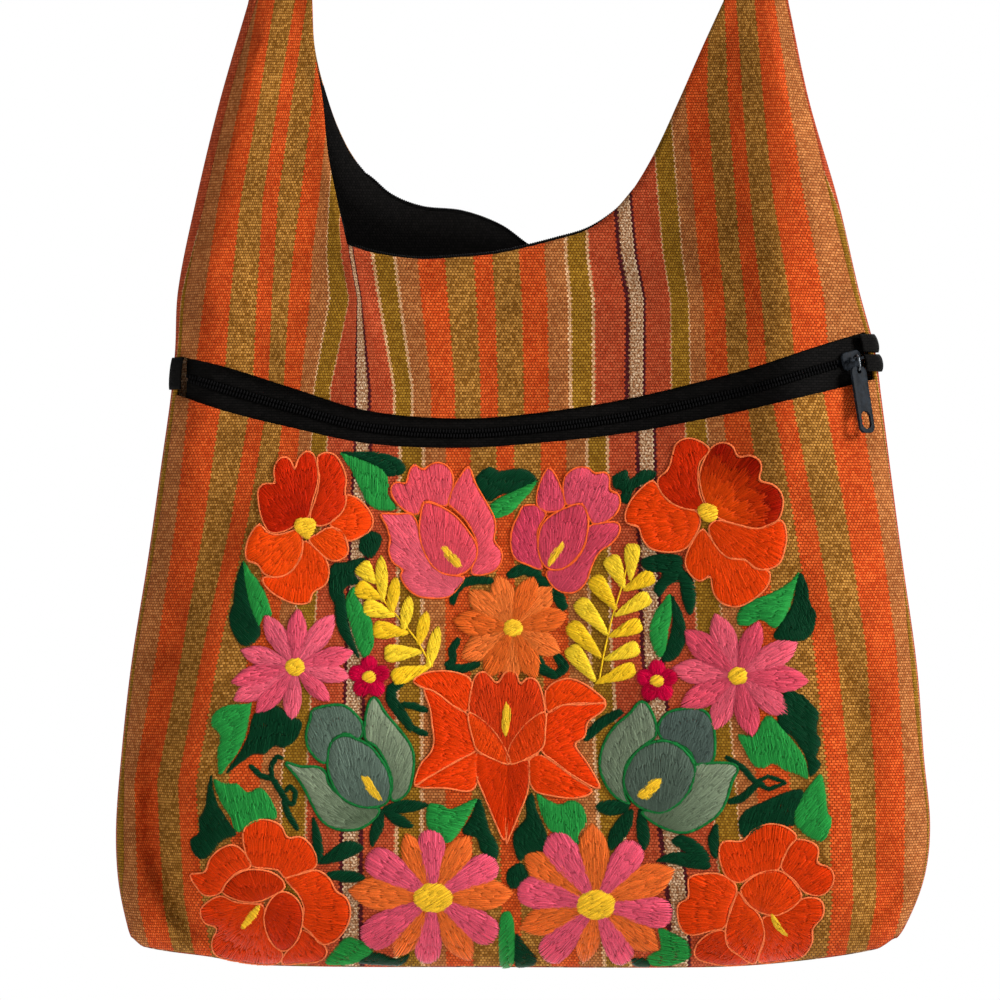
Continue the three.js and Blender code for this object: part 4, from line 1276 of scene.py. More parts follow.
# Poppies
# The four large flowers at the corners of the embroidery, worked by hand in rayon thread. Satin stitches
# fan out from each heart over every petal, and a line of stem stitch edges each petal. The thread is
# thicker than the real one, so that single stitches show.
STITCH = {
    "pitch": 0.55, "width": 0.78, "height": 0.45, "shortest": 0.5, "longest": 9.0, "past": 0.4,
    "overlap": 0.6, "break": 0.3, "slant": 0.1, "uneven": 0.07, "tint": 0.11,
}
STEM = {"pitch": 1.5, "length": 3.2, "width": 0.9, "height": 0.55, "lift": 0.35, "aside": 0.22}
FAN = {"behind": 0.35, "flat": 0.85}
PAD_REACH = 3.0
# Painted shade along each petal's rim, where it meets its neighbours.
RIM_SHADE = {"dark": 0.74, "reach": 1.3}
FIBRE = 5 / 7
BOTTOM_CLEAR = 1.4
CORNER = {
    "upper_left": ((220, 430), 1.913), "upper_right": ((500, 430), 2.105),
    "lower_left": ((180, 670), 2.105), "lower_right": ((500, 670), 2.168), "whole": ((0, 0), 1),
}
random = np.random.default_rng(11)

# Rayon embroidery thread: bright dyed filament with a silky sheen along each stitch.
# The colour comes from the stitches themselves, each a little lighter or darker than the next.
THREAD, tree, shader = new_material("rayon thread", {"Roughness": 0.42, "Specular IOR Level": 0.5})
dyed = add_node(tree, "ShaderNodeAttribute", attribute_name="thread").outputs["Color"]
place = add_node(tree, "ShaderNodeTexCoord").outputs["Object"]
fibres = add_node(
    tree, "ShaderNodeTexNoise", {"Vector": place, "Scale": 1 / (FIBRE * MM), "Detail": 2})
strand = add_node(
    tree, "ShaderNodeMapRange", {"Value": fibres.outputs["Fac"], 1: 0.3, 2: 0.7, 3: 0.86, 4: 1.1})
twined = add_node(
    tree, "ShaderNodeMixRGB", {"Fac": 1, "Color1": dyed, "Color2": strand.outputs[0]},
    blend_type="MULTIPLY")
tree.links.new(twined.outputs[0], shader.inputs["Base Color"])
tree.links.new(dyed, shader.inputs["Specular Tint"])
bump = add_node(
    tree, "ShaderNodeBump", {"Height": fibres.outputs["Fac"], "Strength": 0.3, "Distance": 0.15 * MM})
tree.links.new(bump.outputs[0], shader.inputs["Normal"])


def pairs(text):
    """Points written as column,row pairs."""
    return np.array([[float(number) for number in pair.split(",")] for pair in text.split()])


def squares(text, corner):
    """Points counted in squares from a corner of the drawing."""
    origin, square = CORNER[corner]
    return pairs(text) * square + origin


def on_cloth(points):
    """Drawn points as X and Z on the pocket panel, kept off its bottom seam."""
    x, z = drawn(points[:, 0], points[:, 1])
    return np.stack([x, np.maximum(z, bottom_z(x) + BOTTOM_CLEAR)], 1)


def rounded(points, parts=4):
    """A smooth closed outline through the given points."""
    before = np.roll(points, 1, 0)[:, None]
    after = np.roll(points, -1, 0)[:, None]
    later = np.roll(points, -2, 0)[:, None]
    here = points[:, None]
    t = (np.arange(parts) / parts)[None, :, None]
    bent = 2 * before - 5 * here + 4 * after - later
    turned = -before + 3 * here - 3 * after + later
    return (0.5 * (2 * here + (after - before) * t + bent * t ** 2 + turned * t ** 3)).reshape(-1, 2)


def rows_across(ring):
    """Ends of level rows of thread over an outline, each row broken where it would be too long."""
    pitch = STITCH["pitch"]
    following = np.roll(ring, -1, 0)
    starts = []
    ends = []
    for level in np.arange(ring[:, 1].min() + pitch / 2, ring[:, 1].max(), pitch):
        hit = (ring[:, 1] > level) != (following[:, 1] > level)
        a = ring[hit]
        b = following[hit]
        crossed = np.sort(a[:, 0] + (level - a[:, 1]) * (b[:, 0] - a[:, 0]) / (b[:, 1] - a[:, 1]))
        for left, right in zip(crossed[::2], crossed[1::2]):
            if right - left < STITCH["shortest"]:
                continue
            left = left - random.uniform(0, STITCH["past"])
            right = right + random.uniform(0, STITCH["past"])
            parts = math.ceil((right - left) / STITCH["longest"])
            cuts = np.linspace(left, right, parts + 1)
            shift = random.uniform(-STITCH["break"], STITCH["break"], parts - 1)
            cuts[1:-1] += shift * (right - left) / parts
            for k in range(parts):
                starts.append((cuts[k] - (STITCH["overlap"] if k else 0), level))
                ends.append((cuts[k + 1], level + random.normal(0, STITCH["slant"])))
    return np.array(starts), np.array(ends)


def turned_axes(angle):
    return np.array([[math.cos(angle), math.sin(angle)], [-math.sin(angle), math.cos(angle)]])


def fill_straight(ring, angle):
    """Satin stitches over an outline, all at one angle in degrees."""
    axes = turned_axes(math.radians(angle))
    starts, ends = rows_across(ring @ axes.T)
    return starts @ axes, ends @ axes


def fill_fan(ring, heart):
    """Satin stitches over a petal that spread out from the flower's heart."""
    middle = ring.mean(0)
    root = heart - FAN["behind"] * (middle - heart)
    turn = turned_axes(math.atan2(*(middle - root)[::-1]))
    local = (ring - root) @ turn.T
    reach = np.hypot(local[:, 0], local[:, 1])
    far = FAN["flat"] * reach.max()
    flat = np.stack([reach, np.arctan2(local[:, 1], local[:, 0]) * far], 1)

    def back_to_petal(points):
        bearing = points[:, 1] / far
        spread = np.stack([np.cos(bearing), np.sin(bearing)], 1) * points[:, :1]
        return spread @ turn + root

    starts, ends = rows_across(flat)
    return back_to_petal(starts), back_to_petal(ends)


def edge_distance(points, ring):
    """Distance of each point from an outline."""
    a = ring[None]
    run = np.roll(ring, -1, 0)[None] - a
    off = points[:, None] - a
    along = np.clip((off * run).sum(2) / np.maximum((run * run).sum(2), 1e-9), 0, 1)
    return np.linalg.norm(off - along[..., None] * run, axis=2).min(1)


def lay_stitches(starts, ends, width, height, lift, ring=None, pad=0.0):
    """The points of many stitches, each a low three-sided strand of four sections on the cloth."""
    shares = np.array([0, 0.2, 0.8, 1])
    slim = np.array([0.45, 1, 1, 0.45])[None, :, None]
    arch = np.array([0.1, 1, 1, 0.1])[None, :, None]
    spots = starts[:, None] * (1 - shares)[:, None] + ends[:, None] * shares[:, None]
    flat = spots.reshape(-1, 2)
    rise = np.zeros(len(flat))
    if pad:
        rise = pad * (1 - (1 - np.minimum(edge_distance(flat, ring) / PAD_REACH, 1)) ** 2)
    uneven = np.repeat(random.normal(0, STITCH["uneven"], len(starts)), 4)
    base, normals = on_front(flat[:, 0], flat[:, 1], lift + rise + uneven)
    base = base.reshape(-1, 4, 3)
    normals = normals.reshape(-1, 4, 3)
    along = unit(base[:, 3:] - base[:, :1])
    side = unit(np.cross(normals, np.broadcast_to(along, normals.shape)))
    left = base - side * slim * width / 2
    right = base + side * slim * width / 2
    crest = base + normals * arch * height
    return np.stack([left, crest, right], 2).reshape(-1, 12, 3)


class Worked:
    """Stitches gathered for one piece of embroidery, with the colour of each."""

    def __init__(self):
        self.strands = []
        self.colours = []

    def add(self, strands, code, shade=1.0, far=0.0):
        """A code with two colours runs from the first at a petal's root to the second at its rim."""
        root, rim = [np.array(linear(part)[:3]) for part in (code.split(">") * 2)[:2]]
        far = np.reshape(far, (-1, 1))
        tint = (root * (1 - far) + rim * far) * np.reshape(shade, (-1, 1))
        vary = np.exp(random.normal(0, STITCH["tint"], (len(strands), 1)))
        self.strands.append(strands)
        self.colours.append(np.broadcast_to(tint * vary, (len(strands), 3)))

    def petal(self, ring, code, heart=None, angle=0.0, pad=0.9, lift=0.0, deep=0.3):
        """Fills an outline, fanned from a heart or at one angle, with painted shade at its rim, darker to
        its root.
        """
        starts, ends = fill_straight(ring, angle) if heart is None else fill_fan(ring, heart)
        strands = lay_stitches(starts, ends, STITCH["width"], STITCH["height"], lift, ring, pad)
        middles = (starts + ends) / 2
        inner = np.minimum(edge_distance(middles, ring) / RIM_SHADE["reach"], 1)
        shade = RIM_SHADE["dark"] + (1 - RIM_SHADE["dark"]) * inner
        far = 0.0
        if heart is not None:
            away = np.linalg.norm(middles - heart, axis=1)
            far = away / away.max()
            shade = shade * (1 - deep * (1 - far))
        self.add(strands, code, shade, far)

    def stem(self, line, code, lift=STEM["lift"], width=STEM["width"], closed=False):
        """A line of slanting stitches, as round a petal or along a stalk."""
        if closed:
            line = np.concatenate([line, line[:1]])
        length = run_along(line)
        at = np.arange(0, length[-1], STEM["pitch"])
        starts = spots_along(line, length, np.maximum(at - STEM["length"] / 2, 0))
        ends = spots_along(line, length, np.minimum(at + STEM["length"] / 2, length[-1]))
        run = ends - starts
        aside = STEM["aside"] * unit(np.stack([-run[:, 1], run[:, 0]], 1) + 1e-9)
        strands = lay_stitches(starts - aside, ends + aside, width, STEM["height"], lift)
        self.add(strands, code)

    def finish(self, name):
        """Joins the stitches into one piece of the bag."""
        points = np.concatenate(self.strands)
        tints = np.concatenate(self.colours)
        count = len(points)
        faces = [[0, 1, 2], [11, 10, 9]]
        for k in (0, 3, 6):
            faces += [[k, k + 3, k + 4, k + 1], [k + 1, k + 4, k + 5, k + 2], [k + 2, k + 5, k + 3, k]]
        loops = np.concatenate(faces)
        sizes = np.array([len(face) for face in faces])
        joined = (loops[None] + np.arange(count)[:, None] * 12).ravel()
        piece = joined_mesh(name, points.reshape(-1, 3) * MM, joined, np.tile(sizes, count), THREAD)
        dye = piece.data.color_attributes.new("thread", "FLOAT_COLOR", "POINT")
        rgba = np.ones((count, 12, 4), np.float32)
        rgba[..., :3] = tints[:, None]
        dye.data.foreach_set("color", rgba.ravel())
        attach(piece, "bag")


def work_flower(worked, corner, heart, edging, petals, edge_width=STEM["width"]):
    """Works each petal of a flower in order, then its edging."""
    heart = on_cloth(squares(heart, corner))[0]
    for code, lift, text in petals:
        ring = rounded(on_cloth(squares(text, corner)))
        worked.petal(ring, code, heart=heart, lift=lift)
        worked.stem(ring, edging, lift=STEM["lift"] + lift, width=edge_width, closed=True)


def work_spot(worked, corner, code, angle, text, lift=1.1, pad=0.7):
    """A small solid spot, such as a stamen or a flower's eye."""
    worked.petal(rounded(on_cloth(squares(text, corner))), code, angle=angle, lift=lift, pad=pad)


SALMON = "#EE7844"
YELLOW = "#F4C531"
poppies = Worked()
work_flower(poppies, "upper_left", "44,50", SALMON, (
    ("#B81E08>#D62E0A", 0, "29,18 31,15 34,14 37,16 39,21 41,15 45,11 49,13 51,20 51,28 48,38 46,46 "
        "40,49 36,52 27,54 23,49 21,43 20,36 20,31 23,28 29,28 28,23"),
    ("#D2310C", 0.1, "51,14 58,12 63,17 66,26 65,32 66,38 63,44 57,49 50,50 47,45 50,36 52,26"),
    ("#F04A0F", 0.1, "66,34 72,36 77,41 80,47 78,53 71,57 66,58 62,53 57,49 63,44 66,38"),
    ("#F2500F", 0.2, "50,55 57,51 64,53 66,58 67,64 63,68 57,68 51,63 46,57"),
    ("#EF490D", 0.1, "44,58 50,62 55,67 57,74 55,81 48,85 47,90 40,91 32,88 25,83 22,77 30,77 37,74 "
        "42,66"),
    ("#F2500F", 0.2, "43,57 43,64 40,71 34,76 27,77 22,74 20,70 14,68 14,60 17,53 21,49 24,53 30,55 "
        "37,53 41,52"),
))
work_spot(poppies, "upper_left", YELLOW, 20, "40,47 45,46 49,47 50,51 46,57 42,55 39,51")
work_flower(poppies, "upper_right", "99,41", SALMON, (
    ("#C42608>#D8320A", 0, "82,12 84,6 90,4 96,6 100,10 95,15 94,23 95,31 97,37 90,38 82,35 76,29 "
        "75,23 79,20 81,16"),
    ("#F8560E>#9A1406", 0.1, "100,9 106,6 111,8 113,13 119,12 124,15 124,20 123,24 130,26 134,31 "
        "134,38 131,44 124,47 113,45 104,42 99,37 96,30 95,20"),
    ("#E8440C", 0.2, "103,43 112,45 122,47 130,44 134,43 136,50 135,57 133,63 128,66 122,66 117,62 "
        "109,61 103,56 99,47"),
    ("#EC480D", 0.1, "104,57 109,61 116,61 121,66 128,67 127,74 121,80 113,84 105,82 101,76 100,69 "
        "95,72 90,68 88,62 91,54 96,47 99,50"),
    ("#EA460D", 0.1, "60,44 60,38 64,31 72,24 75,27 79,33 86,37 94,39 95,45 91,53 87,57 79,58 71,56 "
        "67,50 66,46"),
))
work_spot(poppies, "upper_right", YELLOW, 20, "94,37 98,35 103,37 103,42 99,44 95,41")
work_flower(poppies, "lower_left", "40,112", SALMON, (
    ("#E2420E", 0, "30,77 34,72 41,71 48,74 51,80 57,79 62,83 65,89 64,94 58,96 50,99 47,95 40,94 "
        "34,93 31,86"),
    ("#E04210", 0.1, "5,97 12,96 14,90 19,85 25,83 30,86 34,93 27,96 22,101 19,106 12,107 8,103"),
    ("#E4440E", 0.1, "50,99 57,97 65,95 71,99 74,105 79,108 81,115 79,122 74,128 67,130 62,124 58,121 "
        "59,113 56,106"),
    ("#CA340A", 0.2, "20,105 24,99 31,95 40,95 47,98 50,103 44,107 36,110 27,109"),
    ("#C6300A", 0.3, "40,116 43,109 48,105 54,107 58,113 58,121 55,129 50,133 45,131 41,124"),
    ("#DA3E0D", 0.1, "10,113 19,107 26,110 36,111 40,112 40,120 43,129 49,134 46,139 36,140 25,139 "
        "17,135 15,129 18,122 12,120"),
    ("#D63C0E", 0, "58,123 63,126 68,130 70,134 66,138 56,139 48,139 51,133 56,128"),
))
work_spot(poppies, "lower_left", YELLOW, -45, "36,112 38,112 36,117 31,122 29,121 32,116")
work_flower(poppies, "lower_right", "121,112", SALMON, (
    ("#E2420E", 0, "101,84 103,79 112,79 116,74 123,71 131,72 137,77 133,82 130,89 127,93 118,94 "
        "111,98 105,96 102,90"),
    ("#DC3E0D", 0.1, "137,78 145,80 147,84 146,89 152,91 154,96 152,101 147,104 140,102 136,97 130,92 "
        "130,88 133,82"),
    ("#E4440E", 0.1, "87,96 93,94 101,94 108,98 109,103 106,110 104,118 97,120 88,122 83,118 82,108 "
        "87,105"),
    ("#E2440E", 0.2, "111,101 117,95 125,92 132,94 138,101 139,105 134,110 127,113 119,111 114,107"),
    ("#E0420D", 0.3, "110,102 113,107 119,112 122,121 119,131 117,135 110,131 105,127 104,119 107,109"),
    ("#DE400D", 0.1, "127,113 134,110 140,105 148,106 149,113 144,119 144,125 139,132 128,134 119,134 "
        "122,124 121,114"),
    ("#D63C0E", 0, "91,126 97,121 104,120 106,128 116,134 108,136 98,135 90,132"),
))
work_spot(poppies, "lower_right", YELLOW, -50, "125,112 128,115 133,122 130,121 126,117")
poppies.finish("poppies")

# Pink tulips
# Two open tulips between the upper poppies, in rose thread edged with orange.
# The middle petal is a drop with a small yellow stamen.
EDGE_ORANGE = "#F0672E"
ROSE = ("#EC5A68", "#EE6474", "#E65260")
tulips = Worked()
work_flower(tulips, "upper_left", "118,80", EDGE_ORANGE, (
    (ROSE[1], 0, "84,44 92,44 100,44 103,49 105,58 108,66 113,72 121,76 128,77 125,82 120,87 112,88 "
        "104,87 98,83 94,76 96,73 90,69 88,62 89,58 87,50"),
    (ROSE[0], 0, "97,28 99,21 102,18 106,21 112,17 119,19 122,26 120,37 117,40 107,37 104,44 98,43 "
        "92,38 89,31 92,27"),
    (ROSE[0], 0.1, "125,25 130,19 133,27 138,36 143,45 144,52 143,58 147,63 147,69 143,74 135,76 "
        "131,74 134,66 134,58 129,48 122,41 119,38 122,30"),
    (ROSE[2], 0.3, "107,38 115,40 123,45 129,52 134,60 134,67 130,73 124,76 116,75 110,70 106,62 "
        "104,53 105,44"),
))
work_spot(tulips, "upper_left", YELLOW, -50, "115,61 119,61 126,69 126,72 123,72 117,66")
work_flower(tulips, "upper_right", "26,80", EDGE_ORANGE, (
    ("#DE5068", 0, "23,18 28,25 31,36 25,39 18,37 18,28"),
    ("#D64660", 0, "11,36 18,36 22,40 18,47 18,55 20,66 13,64 7,61 5,54 6,46 9,40"),
    ("#E0566C", 0.1, "31,22 36,18 42,18 45,21 49,20 52,22 52,29 56,30 57,36 53,42 45,45 42,41 38,35 "
        "32,36 30,29"),
    ("#D84C62", 0.1, "42,46 50,44 56,44 57,48 53,54 47,58 43,66 41,72 36,77 29,77 24,73 22,67 30,66 "
        "37,61 41,53"),
    ("#D84A60", 0.3, "38,35 41,38 42,45 40,55 36,61 30,66 23,66 19,61 18,54 20,45 27,39"),
))
work_spot(tulips, "upper_right", YELLOW, 55, "29,53 31,55 27,62 23,65 23,61")
tulips.finish("pink_tulips")

# Grey tulips
# Two tulips beside the lily, in grey-green thread with paler wings.
# Each petal is edged with a thick line of green stem stitch.
EDGE_GREEN = "#18662F"
grey_tulips = Worked()
work_flower(grey_tulips, "lower_left", "90,74", EDGE_GREEN, (
    ("#5F7264", 0, "63,19 70,17 78,17 84,22 87,27 85,33 79,30 73,33 71,38 70,44 66,43 61,37 60,30 "
        "62,23"),
    ("#5A6C50>#919E82", 0.1, "88,24 90,15 93,13 97,20 103,27 109,35 111,42 110,52 108,58 103,62 100,61 "
        "101,53 98,44 93,36 88,33"),
    ("#5A6C50>#919E82", 0, "50,44 57,46 64,46 69,48 70,53 74,58 80,63 87,65 95,66 92,71 86,75 79,76 "
        "73,75 67,71 63,64 59,56 55,50"),
    ("#54665A>#66786A", 0.3, "72,34 78,31 84,33 90,36 95,42 99,49 100,57 98,63 93,65 86,65 79,62 74,57 "
        "71,50 70,43"),
), edge_width=1.7)
work_spot(grey_tulips, "lower_left", YELLOW, -60, "86,50 90,51 95,59 96,62 92,61 87,55")
work_flower(grey_tulips, "lower_right", "72,76", EDGE_GREEN, (
    ("#586A50>#828F76", 0, "46,44 48,34 53,26 60,20 64,15 67,15 71,22 72,30 66,35 59,42 57,50 58,59 "
        "60,62 54,59 49,53"),
    ("#52625A", 0, "73,26 77,20 84,18 92,18 97,22 99,31 98,42 91,44 88,38 82,34 75,32"),
    ("#586A50>#8A977C", 0.1, "90,44 97,43 105,43 110,45 107,51 105,58 101,66 93,72 85,75 76,73 69,69 "
        "65,65 75,65 83,61 88,54"),
    ("#4C5C50>#5C6C5E", 0.3, "72,33 78,33 85,37 90,45 88,54 83,61 75,66 66,64 60,59 57,51 60,42 65,36"),
), edge_width=1.7)
work_spot(grey_tulips, "lower_right", YELLOW, 35, "63,58 66,54 71,50 75,50 74,54 68,60")
grey_tulips.finish("grey_tulips")

# Lily
# The large flower in the middle: a bell with a cup, and pointed petals to both sides and below.
# It is worked in bright orange with salmon edges.
CUP_LIFT = 0.8
lily = Worked()
work_flower(lily, "whole", "507,762", SALMON, (
    ("#EC440C", 0, "413,681 425,673 447,671 468,677 472,688 467,712 452,705 436,692 424,688"),
    ("#E8400C", 0.1, "424,689 438,694 453,706 467,714 473,738 476,751 458,760 441,770 426,779 414,786 "
        "420,765 431,752 434,739 432,725 430,708"),
    ("#EA420C", 0, "416,786 441,770 460,760 478,750 480,762 473,790 446,788"),
    ("#E03A0A", 0.1, "478,752 509,765 506,838 497,826 484,795 476,775"),
    ("#D0330A", 0.1, "506,763 528,759 528,789 520,811 508,839 506,838"),
    ("#EA420C", 0, "539,755 554,763 574,778 593,791 576,798 554,796 533,789 528,763"),
    ("#EC480E", 0, "546,690 563,679 578,681 593,690 606,703 582,703 563,705 548,713"),
    ("#E8400C", 0.1, "548,713 563,705 582,705 606,703 600,713 587,722 585,737 574,744 587,763 600,789 "
        "574,776 554,761 541,750 543,731"),
    ("#D83E14", 0.3, "471,690 476,675 486,672 497,684 505,672 515,671 520,685 527,678 537,681 543,698 "
        "545,718 541,750 509,765 478,752 469,714"),
))
for code, angle, text in (
    ("#E2480F", 70, "468,713 485,722 499,738 508,755 509,765 479,752 473,740"),
    ("#DC420F", 110, "545,712 530,720 518,733 509,748 509,765 541,750 545,730"),
):
    ring = rounded(on_cloth(squares(text, "whole")))
    lily.petal(ring, code, angle=angle, lift=CUP_LIFT, pad=0.8)
    lily.stem(ring, SALMON, lift=CUP_LIFT + STEM["lift"], closed=True)
work_spot(lily, "whole", YELLOW, 90, "506,702 510,708 510,722 506,737 502,728 503,711", lift=1.5)
lily.finish("lily")

# Daisies
# Five many-petalled flowers and two small magenta ones, each petal worked along its length.
# Every flower has a raised yellow eye.
LONG_SHAPE = ((0.08, 0.25), (0.3, 0.68), (0.55, 1.0), (0.76, 0.9), (0.91, 0.5), (1.0, 0.06))
BLUNT_SHAPE = ((0.12, 0.3), (0.4, 0.72), (0.7, 1.0), (0.9, 0.9), (0.98, 0.5), (1.0, 0.15))
ROUND_SHAPE = ((0.1, 0.5), (0.4, 1.0), (0.7, 1.1), (0.92, 0.7), (1.0, 0.2))


def petal_ring(root, tip, half_width, shape):
    """A petal's outline from its root to its tip."""
    run = tip - root
    aside = np.array([-run[1], run[0]]) / np.linalg.norm(run) * half_width
    one = [root + run * t + aside * w for t, w in shape]
    other = [root + run * t - aside * w for t, w in reversed(shape)]
    return rounded(np.array(one + other), 3)


def disc(centre, across, up, sides=14):
    """The outline of a flower's eye."""
    turn = np.linspace(0, 2 * math.pi, sides, endpoint=False)
    return np.stack([centre[0] + across * np.cos(turn), centre[1] + up * np.sin(turn)], 1)


def work_daisy(centre, half_share, colours, tips, square=1, shapes=(LONG_SHAPE,), eye=(10, 9)):
    """Petals to the given tips round a centre, then the raised eye, in squares of the drawing."""
    centre = np.array(centre, float)
    for k, tip in enumerate(pairs(tips) * square):
        half = half_share * np.linalg.norm(tip)
        ring = on_cloth(petal_ring(centre, centre + tip, half, shapes[k % len(shapes)]))
        ends = on_cloth(np.stack([centre, centre + tip]))
        run = ends[1] - ends[0]
        code = colours[k % len(colours)]
        daisies.petal(ring, code, heart=ends[0] - 0.5 * run, pad=0.9, lift=0.3 * (k % 2), deep=0.5)
    daisies.petal(on_cloth(disc(centre, *eye)), YELLOW, angle=30, lift=1.0, pad=1.0)


daisies = Worked()
for centre, half_share, colours, tips in (
    ((295, 667), 0.17, ("#F0687E", "#E85A72"),
        "-30,-52 3,-58 39,-52 58,-15 55,10 34,34 -4,54 -38,46 -61,33 -63,15 -54,-17"),
    ((738, 676), 0.19, ("#EC6478", "#E2546A"),
        "-23,-62 21,-54 59,-33 70,5 52,39 15,60 -25,54 -57,31 -66,-7 -53,-45"),
    ((513, 628), 0.22, ("#F07C36", "#E66C28"),
        "-16,-53 21,-51 40,-42 54,-13 47,25 23,50 -2,54 -26,49 -51,30 -60,-8 -44,-37"),
):
    work_daisy(centre, half_share, colours, tips)
for centre, square, tips in (
    ((433, 897), 2.105,
        "-13,-30 -1,-32 17,-29 30,-17 38,-2 30,19 18,30 -3,31 -18,28 -33,21 -40,-3 -31,-20"),
    ((596, 904), 2.168,
        "-2,-37 -21,-32 -33,-23 -36,-7 -35,11 -24,25 -6,27 14,27 29,21 35,5 36,-16 19,-28"),
):
    work_daisy(
        centre, 0.2, ("#EE7430", "#EC5E78"), tips, square=square, shapes=(LONG_SHAPE, BLUNT_SHAPE),
        eye=(20, 15))
for centre in ((369, 677), (657, 681)):
    work_daisy(
        centre, 0.36, ("#D00A40", "#B80634"), "0,-21 20,-6 12,18 -12,18 -20,-6", shapes=(ROUND_SHAPE,),
        eye=(7, 6))
daisies.finish("daisies")

# Ferns
# Two yellow sprigs of slender leaflets beside the middle flowers.
# Each leaflet is one column of satin stitch on a thin stalk.
BLADE = ((0.0, 0.3), (0.3, 0.85), (0.6, 1.0), (0.85, 0.7), (1.0, 0.12))
WEDGE = ((0.0, 0.2), (0.3, 0.6), (0.6, 0.92), (0.85, 1.0), (0.97, 0.72), (1.0, 0.35))
FERN_YELLOW = ("#F8D434", "#F2C626")
ferns = Worked()
for corner, half, shape, stalk, leaflets in (
    ("upper_left", 3.2, BLADE, "81,78 86,90 95,100 103,110 111,124",
        "85,89>84,66 89,96>92,77 96,104>99,87 104,112>108,95 109,124>114,103"),
    ("upper_left", 4.6, WEDGE, "81,78 86,90",
        "81,80>73,70 84,88>71,82 91,97>75,92 98,106>80,104 105,116>86,117 109,124>90,130"),
    ("upper_right", 4.2, WEDGE, "63,55 58,74 53,90 49,108 47,120",
        "59,75>52,60 55,85>44,70 51,97>37,81 48,108>33,92 45,119>33,103"),
    ("upper_right", 3.7, WEDGE, "63,55 58,74",
        "62,71>63,54 59,76>73,69 55,88>71,79 52,98>67,92 50,109>66,103 46,120>64,113"),
):
    square = CORNER[corner][1]
    for k, pair in enumerate(leaflets.split()):
        root, tip = squares(pair.replace(">", " "), corner)
        ring = on_cloth(petal_ring(root, tip, half * square, shape))
        ends = on_cloth(np.stack([root, tip]))
        slant = math.degrees(math.atan2(*(ends[1] - ends[0])[::-1]))
        ferns.petal(ring, FERN_YELLOW[k % 2], angle=slant + 28, pad=0.8, lift=0.1 * (k % 3))
    ferns.stem(on_cloth(squares(stalk, corner)), FERN_YELLOW[1], lift=0.2, width=0.7)
ferns.finish("ferns")

# Leaves
# Leaves round the flowers in two greens. Most are worked in halves, one light and one dark, with the
# stitches slanting across each half.
LIGHT_GREEN = "#2A9140"
DARK_GREEN = "#0C3A22"
leaves = Worked()


def work_leaves(corner, code, slant, texts):
    """Leaves at a slant to their own length."""
    for text in texts:
        ring = rounded(on_cloth(squares(text, corner)))
        spread = ring - ring.mean(0)
        axis = np.linalg.svd(spread, full_matrices=False)[2][0]
        along = math.degrees(math.atan2(axis[1], axis[0]))
        leaves.petal(ring, code, angle=along + slant, pad=0.7)


work_leaves("upper_left", DARK_GREEN, 40, (
    "63,12 72,11 83,11 92,14 97,19 95,23 87,24 83,20 75,16",
    "74,55 79,53 84,55 84,60 79,67 73,63",
    "58,71 66,69 76,67 70,74 73,80 66,82 60,90 57,84",
    "60,86 64,84 66,90 67,99 69,108 73,119 68,114 62,105 60,95",
    "12,69 13,78 15,88 17,95 21,103 20,109 14,113 9,110 5,101 5,96 7,90 8,80",
))
work_leaves("upper_left", LIGHT_GREEN, -40, (
    "63,12 70,14 78,17 86,21 88,28 88,34 92,41 84,42 77,38 73,30 68,20",
    "70,82 73,90 78,96 80,104 80,113 76,119 72,114 69,105 66,95 66,88",
    "12,69 16,74 22,82 25,89 27,97 23,97 20,103 17,96 14,86",
))
work_leaves("upper_right", DARK_GREEN, 40, (
    "54,22 60,19 62,23 68,19 74,20 72,24 64,28 61,35 57,33 58,29 54,27",
    "67,62 75,59 86,60 87,66 91,70 93,78 92,86 89,87 86,78 85,72 80,74 76,79 73,75 77,68 70,67",
    "81,78 85,84 88,92 88,101 84,108 79,110 77,108 80,100 82,90",
    "142,68 146,73 147,82 150,87 149,95 144,100 135,100 130,98 134,91 139,82",
))
work_leaves("upper_right", LIGHT_GREEN, -40, (
    "81,78 82,86 80,95 79,104 76,108 73,104 71,96 73,88 77,82",
    "142,68 138,72 130,77 122,80 116,83 113,87 113,92 118,93 124,90 130,94 135,90 139,80",
))
work_leaves("whole", DARK_GREEN, 40, (
    "476,478 488,467 500,471 513,469 527,470 537,480 525,487 510,493 500,495 489,501 478,489",
))
work_leaves("whole", LIGHT_GREEN, -40, (
    "537,480 531,491 523,500 512,512 502,517 493,518 488,510 494,501 507,494 524,486",
))
work_leaves("lower_left", LIGHT_GREEN, -40, (
    "32,16 34,15 33,22 31,32 27,40 22,46 19,50 18,45 18,38 19,31 15,26 16,21 22,17",
    "16,52 21,54 27,54 32,58 38,56 43,61 46,70 40,71 34,74 27,77 24,70 19,62",
    "118,64 124,64 129,66 141,61 138,68 134,75 128,82 122,79 117,73",
    "69,139 74,132 79,127 85,128 92,133 86,138 78,140",
))
work_leaves("lower_left", DARK_GREEN, 40, (
    "35,21 41,19 46,17 53,22 58,25 55,33 49,37 45,36 40,40 35,40 29,44 22,49 27,41 32,32",
    "15,50 16,58 19,66 23,72 27,78 22,80 18,83 14,88 10,90 6,86 5,81 9,77 9,71 12,65 13,57",
    "142,61 145,68 147,76 151,83 150,90 143,86 141,80 134,77 138,70",
    "85,139 91,134 97,135 103,137 109,135 105,140 95,140",
    "63,70 67,78 68,88 65,92 63,84",
    "66,92 72,85 80,81 87,84 83,88 75,91",
    "69,97 76,95 84,96 88,99 82,101 74,100",
    "96,66 104,62 112,62 118,64 112,67 104,68",
    "96,66 104,68 111,74 106,75 100,72",
    "96,66 97,74 94,80 91,84 90,78 92,71",
))
